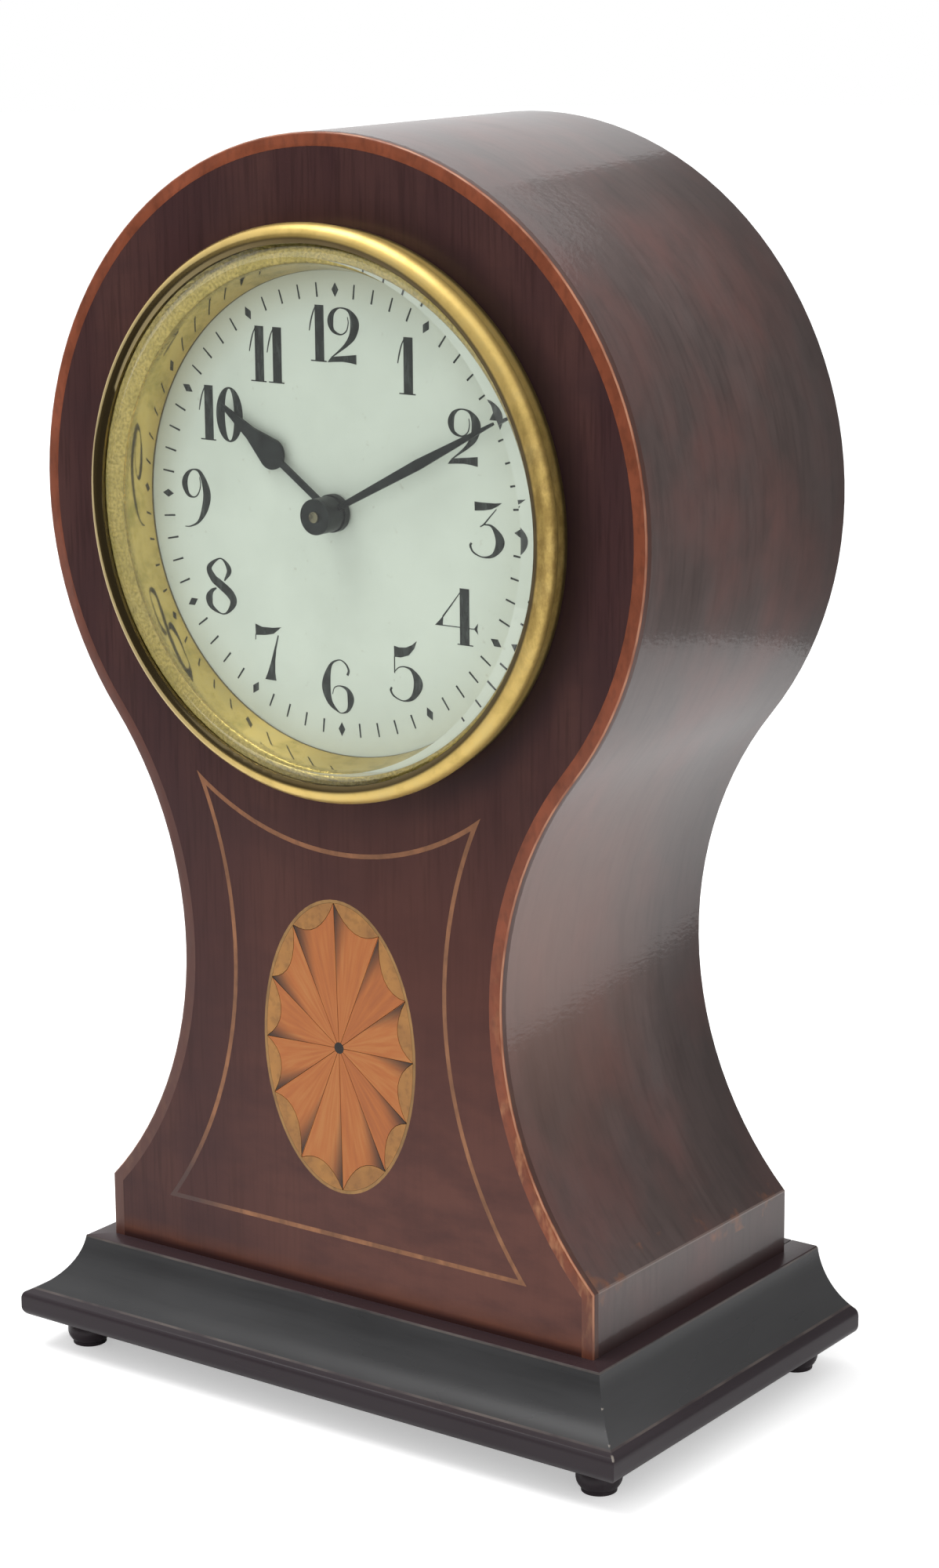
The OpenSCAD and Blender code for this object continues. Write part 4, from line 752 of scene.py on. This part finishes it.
class CLOCK_OT_case(bpy.types.Operator):
    """Veneer, boards and the stringing around the case"""
    bl_idname = "clock.case"
    bl_label = "Case"

    def execute(self, context):
        finish = context.scene.clock_finish
        dress(front_mahogany(finish), "front_veneer")
        dress(side_mahogany(finish), "side_veneer")
        back = grained_wood("stained_back_board", linear("#3a2419"), linear("#55382a"),
                            grain=(0.8, 2, 14), band=(10, 10, 90), shine=0.55, pores=0.4)
        dress(back[0], "back_board")
        pine = grained_wood("sawn_pine", linear("#a97f50"), linear("#c9a271"),
                            grain=(1.2, 1.2, 16), band=(7, 7, 80), shine=0.7, pores=0.25)
        dress(pine[0], "front_board", "left_cheek", "right_cheek", "crown", "bottom_rail")

        def outer_front(edge):
            """Whether an edge lies on the string's front, at its outer side."""
            middle = (edge.verts[0].co + edge.verts[1].co) / 2
            if max(abs(v.co.y - FACE_Y) for v in edge.verts) > NEAR:
                return False
            side = min((f.normal for f in edge.link_faces), key=lambda n: abs(n.y))
            away = Vector((middle.x, 0, max(middle.z - DIAL_Z, 0)))
            return side.dot(away) > 0
        string = own_copy("edge_string", "edge_stringing")
        rounded(string, outer_front, STRING_ROUND, edge_boxwood(finish), "case", "edge_stringing")
        return {"FINISHED"}


class CLOCK_OT_inlay(bpy.types.Operator):
    """Panel line and the oval fan on the front"""
    bl_idname = "clock.inlay"
    bl_label = "Inlay"

    def execute(self, context):
        finish = context.scene.clock_finish
        dress(panel_boxwood(), "panel_stringing")
        dress(boxwood_line("boxwood_oval_border", linear("#9c7440"), wear=0.2)[0], "patera_border")
        dress(shaded_satinwood(finish), "patera_petals")
        lunettes = grained_wood("green_stained_sycamore", linear("#946533"), finish.lunette,
                                grain=(1.2, 1.2, 1.2), band=(6, 6, 6), shine=0.36, pores=0.2)
        dress(lunettes[0], "patera_lunettes")
        dot = grained_wood("black_dyed_wood", linear("#171311"), linear("#2a211c"),
                           grain=(0.5, 0.5, 0.5), band=(2, 2, 2), shine=0.4, pores=0.2)
        dress(dot[0], "patera_dot")
        return {"FINISHED"}


class CLOCK_OT_plinth(bpy.types.Operator):
    """Ebonised plinth with its softened edges, and its feet"""
    bl_idname = "clock.plinth"
    bl_label = "Plinth"

    def execute(self, context):
        finish = context.scene.clock_finish
        black = ebonised_wood(finish)
        dress(black, "base_core", "feet")

        def along(axis):
            """A test for edges that run along an axis."""
            return lambda edge: abs((edge.verts[0].co - edge.verts[1].co).normalized()[axis]) > STRAIGHT
        for node, axis in (("front_moulding", 0), ("left_moulding", 1), ("right_moulding", 1)):
            cove = own_copy(node.replace("moulding", "cove"), node)
            piece = rounded(cove, along(axis), COVE_ROUND, black, "case", node)
        return {"FINISHED"}


class CLOCK_OT_bezel(bpy.types.Operator):
    """Bezel, bevelled glass and sight ring"""
    bl_idname = "clock.bezel"
    bl_label = "Bezel and glass"

    def execute(self, context):
        finish = context.scene.clock_finish
        dress(bezel_brass(finish), "bezel")
        ring = settle(turned_shell("sight_wall", SIGHT_PROFILE, RING_WALL, SIGHT_SHIFT), ring_brass(finish), "case")
        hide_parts("sight_ring")
        dress(clear_glass(), "glass")
        # The pane would darken the dial under plain light, so it casts no shadow and diffuse rays miss it.
        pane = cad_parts["glass"]
        pane.visible_shadow = False
        pane.visible_diffuse = False
        return {"FINISHED"}


class CLOCK_OT_dial(bpy.types.Operator):
    """White dial with its minute track, diamonds and numerals"""
    bl_idname = "clock.dial"
    bl_label = "Dial"

    def execute(self, context):
        finish, marks = context.scene.clock_finish, context.scene.clock_print
        dress(dial_white(finish), "dial")
        ink = dial_black(finish)
        middle = marks.track_radius
        hw, hl = marks.tick_width / 2, marks.tick_length / 2
        tick = [(-hw, middle - hl), (hw, middle - hl), (hw * TICK_TAPER, middle + hl), (-hw * TICK_TAPER, middle + hl)]
        minutes = [around(tick, math.radians(6 * k)) for k in range(60) if k % 5]
        settle(printed("minute_marks", minutes, marks.thickness), ink, "case")
        hw, hl = marks.diamond_width / 2, marks.diamond_length / 2
        diamond = [(0, middle - hl), (hw, middle), (0, middle + hl), (-hw, middle)]
        hours = [around(diamond, math.radians(30 * k)) for k in range(12)]
        settle(printed("hour_diamonds", hours, marks.thickness), ink, "case")
        parts = []
        for digit, x, y in NUMERALS:
            drawings = [[ribbon(s)] for s in STROKES.get(digit, [])] + [[s] for s in SHAPES.get(digit, [])]
            if digit == "0":
                drawings.append([ellipse(ZERO_OUTER, ZERO_OUTER), ellipse(ZERO_OUTER, ZERO_INNER)])
            for outlines in drawings:
                placed = [[((px + x) * MM, (py + y) * MM) for px, py in line] for line in outlines]
                parts.append(printed("numeral_part", placed, marks.thickness))
        settle(joined("hour_numerals", parts), ink, "case")
        return {"FINISHED"}


class CLOCK_OT_hands(bpy.types.Operator):
    """Dark steel hands"""
    bl_idname = "clock.hands"
    bl_label = "Hands"

    def execute(self, context):
        finish = context.scene.clock_finish
        black = hard_metal("blackened_steel_hands", finish.blued, linear("#2d3030"), rough=0.42, spot_mm=3)
        dress(black, "hour_hand", "minute_hand")
        return {"FINISHED"}


class CLOCK_OT_back(bpy.types.Operator):
    """Drum, ring, hinged door and their screws at the back"""
    bl_idname = "clock.back"
    bl_label = "Back door"

    def execute(self, context):
        finish = context.scene.clock_finish
        brass = turned_brass(finish, "spun_brass_back", linear("#b39450"), rough=0.25, dimple=0.06)[0]
        dress(brass, "drum", "back_ring", "back_door", "ring_screws", "door_knob")
        steel = hard_metal("hinge_steel", linear("#77797c"), finish.steel, rough=0.35, spot_mm=4)
        dress(steel, "door_pin", "case_screws")
        return {"FINISHED"}


class CLOCK_OT_movement(bpy.types.Operator):
    """Plates, wheels, arbors and springs of the movement"""
    bl_idname = "clock.movement"
    bl_label = "Movement"

    def execute(self, context):
        finish = context.scene.clock_finish
        brass = hard_metal("milled_brass", linear("#b78f42"), finish.brass, rough=0.26, spot_mm=5)
        steel = hard_metal("polished_steel", linear("#8a8d90"), finish.steel, rough=0.24, spot_mm=3)
        spring = hard_metal("tempered_spring_steel", linear("#3c4450"), linear("#5b6675"), rough=0.3, spot_mm=6)
        dress(brass, "front_plate", "back_plate", "pillars", "barrel", "barrel_cap", "intermediate_wheel",
              "centre_wheel", "third_wheel", "fourth_wheel", "escape_wheel", "balance", "minute_wheel", "hour_wheel")
        dress(steel, "plate_screws", "winding_arbor", "ratchet_wheel", "click", "intermediate_arbor",
              "third_arbor", "fourth_arbor", "escape_arbor", "pallet_lever", "regulator", "cannon_pinion")
        dress(spring, "mainspring", "hairspring")
        straw = hard_metal("straw_steel", linear("#5d5746"), linear("#8b8269"), rough=0.4, spot_mm=1)
        dress(straw, "centre_arbor")
        return {"FINISHED"}


# The floor's radius in metres, its sides, its grey, and the glow that only the camera sees.
FLOOR_RADIUS, FLOOR_SIDES, FLOOR_GREY, FLOOR_GLOW = 4.0, 96, 0.86, 0.42
# The large soft light's place, what it points at, and its width, in metres.
KEY_AT, KEY_AIM, KEY_WIDTH = (-0.4, -0.3, 1.4), (0, 0, 0.13), 0.9
# The camera's turn to the left, downwards and about its own axis, in degrees, its place, and its frame's height.
CAMERA_TURN = (35.894, 13.844, -0.449)
CAMERA_AT = (403.4 * MM, -544.9 * MM, 282.5 * MM)
FRAME_HEIGHT = 36.0
# Cards that only reflections see: the dark room in front, the floor there, and the dark beyond the table's back edge.
# Each has its size, its turn about x and its middle.
DARK_CARDS = (
    ("dark_room_left", (2.3, 0.62), math.pi / 2, (-1.4, -1.3, 0.31)),
    ("dark_room_right", (1.15, 1.6), math.pi / 2, (0.325, -1.3, 0.8)),
    ("dark_room_floor", (2.9, 0.9), 0.0, (-1.05, -0.85, 0.003)),
    ("dark_room_back", (1.6, 0.42), math.pi / 2, (0.75, 0.27, 0.21)),
)


class CLOCK_OT_stage(bpy.types.Operator):
    """Pale floor, soft light, white surround and the camera"""
    bl_idname = "clock.stage"
    bl_label = "Studio"

    def execute(self, context):
        studio, scene = context.scene.clock_studio, context.scene
        bpy.ops.object.select_all(action="DESELECT")
        bpy.ops.mesh.primitive_circle_add(radius=FLOOR_RADIUS, vertices=FLOOR_SIDES, fill_type="NGON")
        floor = context.active_object
        floor.name = "floor"
        pale = bpy.data.materials.new("pale_floor")
        pale.use_nodes = True
        shader = pale.node_tree.nodes["Principled BSDF"]
        seen = add(pale, "LightPath").outputs["Is Camera Ray"]
        glow = add(pale, "Math", {0: seen, 1: FLOOR_GLOW}, operation="MULTIPLY")
        feed(pale, shader, {"Base Color": grey(FLOOR_GREY), "Roughness": 0.9, "Specular IOR Level": 0.0,
                            "Emission Color": grey(1), "Emission Strength": glow})
        floor.data.materials.append(pale)

        world = bpy.data.worlds.new("white_surround")
        scene.world = world
        world.use_nodes = True
        world.node_tree.nodes.clear()
        ray = add(world, "LightPath").outputs
        shiny = add(world, "Math", {0: ray["Is Glossy Ray"], 1: ray["Is Transmission Ray"]}, operation="MAXIMUM")
        shown = add(world, "Math", {0: shiny, 1: ray["Is Camera Ray"]}, operation="MAXIMUM")
        light = add(world, "Background", {"Color": grey(1), "Strength": studio.room})
        white = add(world, "Background", {"Color": grey(1), "Strength": 1.0})
        both = add(world, "MixShader", {0: shown, 1: light, 2: white})
        add(world, "OutputWorld", {"Surface": both})

        bpy.ops.object.light_add(type="AREA", location=KEY_AT)
        key = context.active_object
        key.name = "key_light"
        key.data.shape, key.data.size = "DISK", KEY_WIDTH
        key.data.energy = studio.key
        key.rotation_euler = (Vector(KEY_AIM) - key.location).to_track_quat("-Z", "Y").to_euler()

        yaw, pitch, roll = (math.radians(a) for a in CAMERA_TURN)
        ahead = Vector((-math.sin(yaw) * math.cos(pitch), math.cos(yaw) * math.cos(pitch), -math.sin(pitch)))
        level = Vector((math.cos(yaw), math.sin(yaw), 0))
        above = level.cross(ahead)
        right = math.cos(roll) * level + math.sin(roll) * above
        up = math.cos(roll) * above - math.sin(roll) * level
        bpy.ops.object.camera_add()
        camera = context.active_object
        camera.name = "camera"
        camera.data.sensor_fit, camera.data.sensor_height = "VERTICAL", FRAME_HEIGHT
        camera.data.lens = studio.lens
        turn = Matrix((right, up, -ahead)).transposed().to_4x4()
        camera.matrix_world = Matrix.Translation(CAMERA_AT) @ turn
        scene.camera = camera
        scene.view_settings.view_transform = "Standard"

        shade = bpy.data.materials.new("dark_room")
        shade.use_nodes = True
        feed(shade, shade.node_tree.nodes["Principled BSDF"], {
            "Base Color": grey(0), "Specular IOR Level": 0.0,
            "Emission Color": linear("#5b5753"), "Emission Strength": 1.0})
        for name, size, turned, at in DARK_CARDS:
            bpy.ops.object.select_all(action="DESELECT")
            bpy.ops.mesh.primitive_plane_add(size=1.0)
            card = context.active_object
            card.name = name
            placed = Matrix.Translation(at) @ Matrix.Rotation(turned, 4, "X")
            card.data.transform(placed @ Matrix.Diagonal((*size, 1, 1)))
            card.data.materials.append(shade)
            for kind in ("camera", "diffuse", "transmission", "shadow", "volume_scatter"):
                setattr(card, "visible_" + kind, False)
        return {"FINISHED"}


STEPS = (CLOCK_OT_case, CLOCK_OT_inlay, CLOCK_OT_plinth, CLOCK_OT_bezel, CLOCK_OT_dial, CLOCK_OT_hands,
         CLOCK_OT_back, CLOCK_OT_movement, CLOCK_OT_stage)


class CLOCK_PT_panel(bpy.types.Panel):
    """Steps that dress the clock, with their colours and sizes"""
    bl_idname = "CLOCK_PT_panel"
    bl_label = "Balloon clock"
    bl_space_type = "VIEW_3D"
    bl_region_type = "UI"
    bl_category = "Clock"

    def draw(self, context):
        for step in STEPS:
            self.layout.operator(step.bl_idname)
        for group in (context.scene.clock_finish, context.scene.clock_print, context.scene.clock_studio):
            for name in group.__annotations__:
                self.layout.prop(group, name)


GROUPS = {"clock_finish": ClockFinish, "clock_print": ClockPrint, "clock_studio": ClockStudio}


def register():
    for cls in (*GROUPS.values(), *STEPS, CLOCK_PT_panel):
        bpy.utils.register_class(cls)
    for name, cls in GROUPS.items():
        setattr(bpy.types.Scene, name, PointerProperty(type=cls))


def unregister():
    for name in GROUPS:
        delattr(bpy.types.Scene, name)
    for cls in reversed((*GROUPS.values(), *STEPS, CLOCK_PT_panel)):
        bpy.utils.unregister_class(cls)


def main():
    register()
    bpy.ops.clock.case()
    bpy.ops.clock.inlay()
    bpy.ops.clock.plinth()
    bpy.ops.clock.bezel()
    bpy.ops.clock.dial()
    bpy.ops.clock.hands()
    bpy.ops.clock.back()
    bpy.ops.clock.movement()
    bpy.ops.clock.stage()


if __name__ == "__main__":
    main()
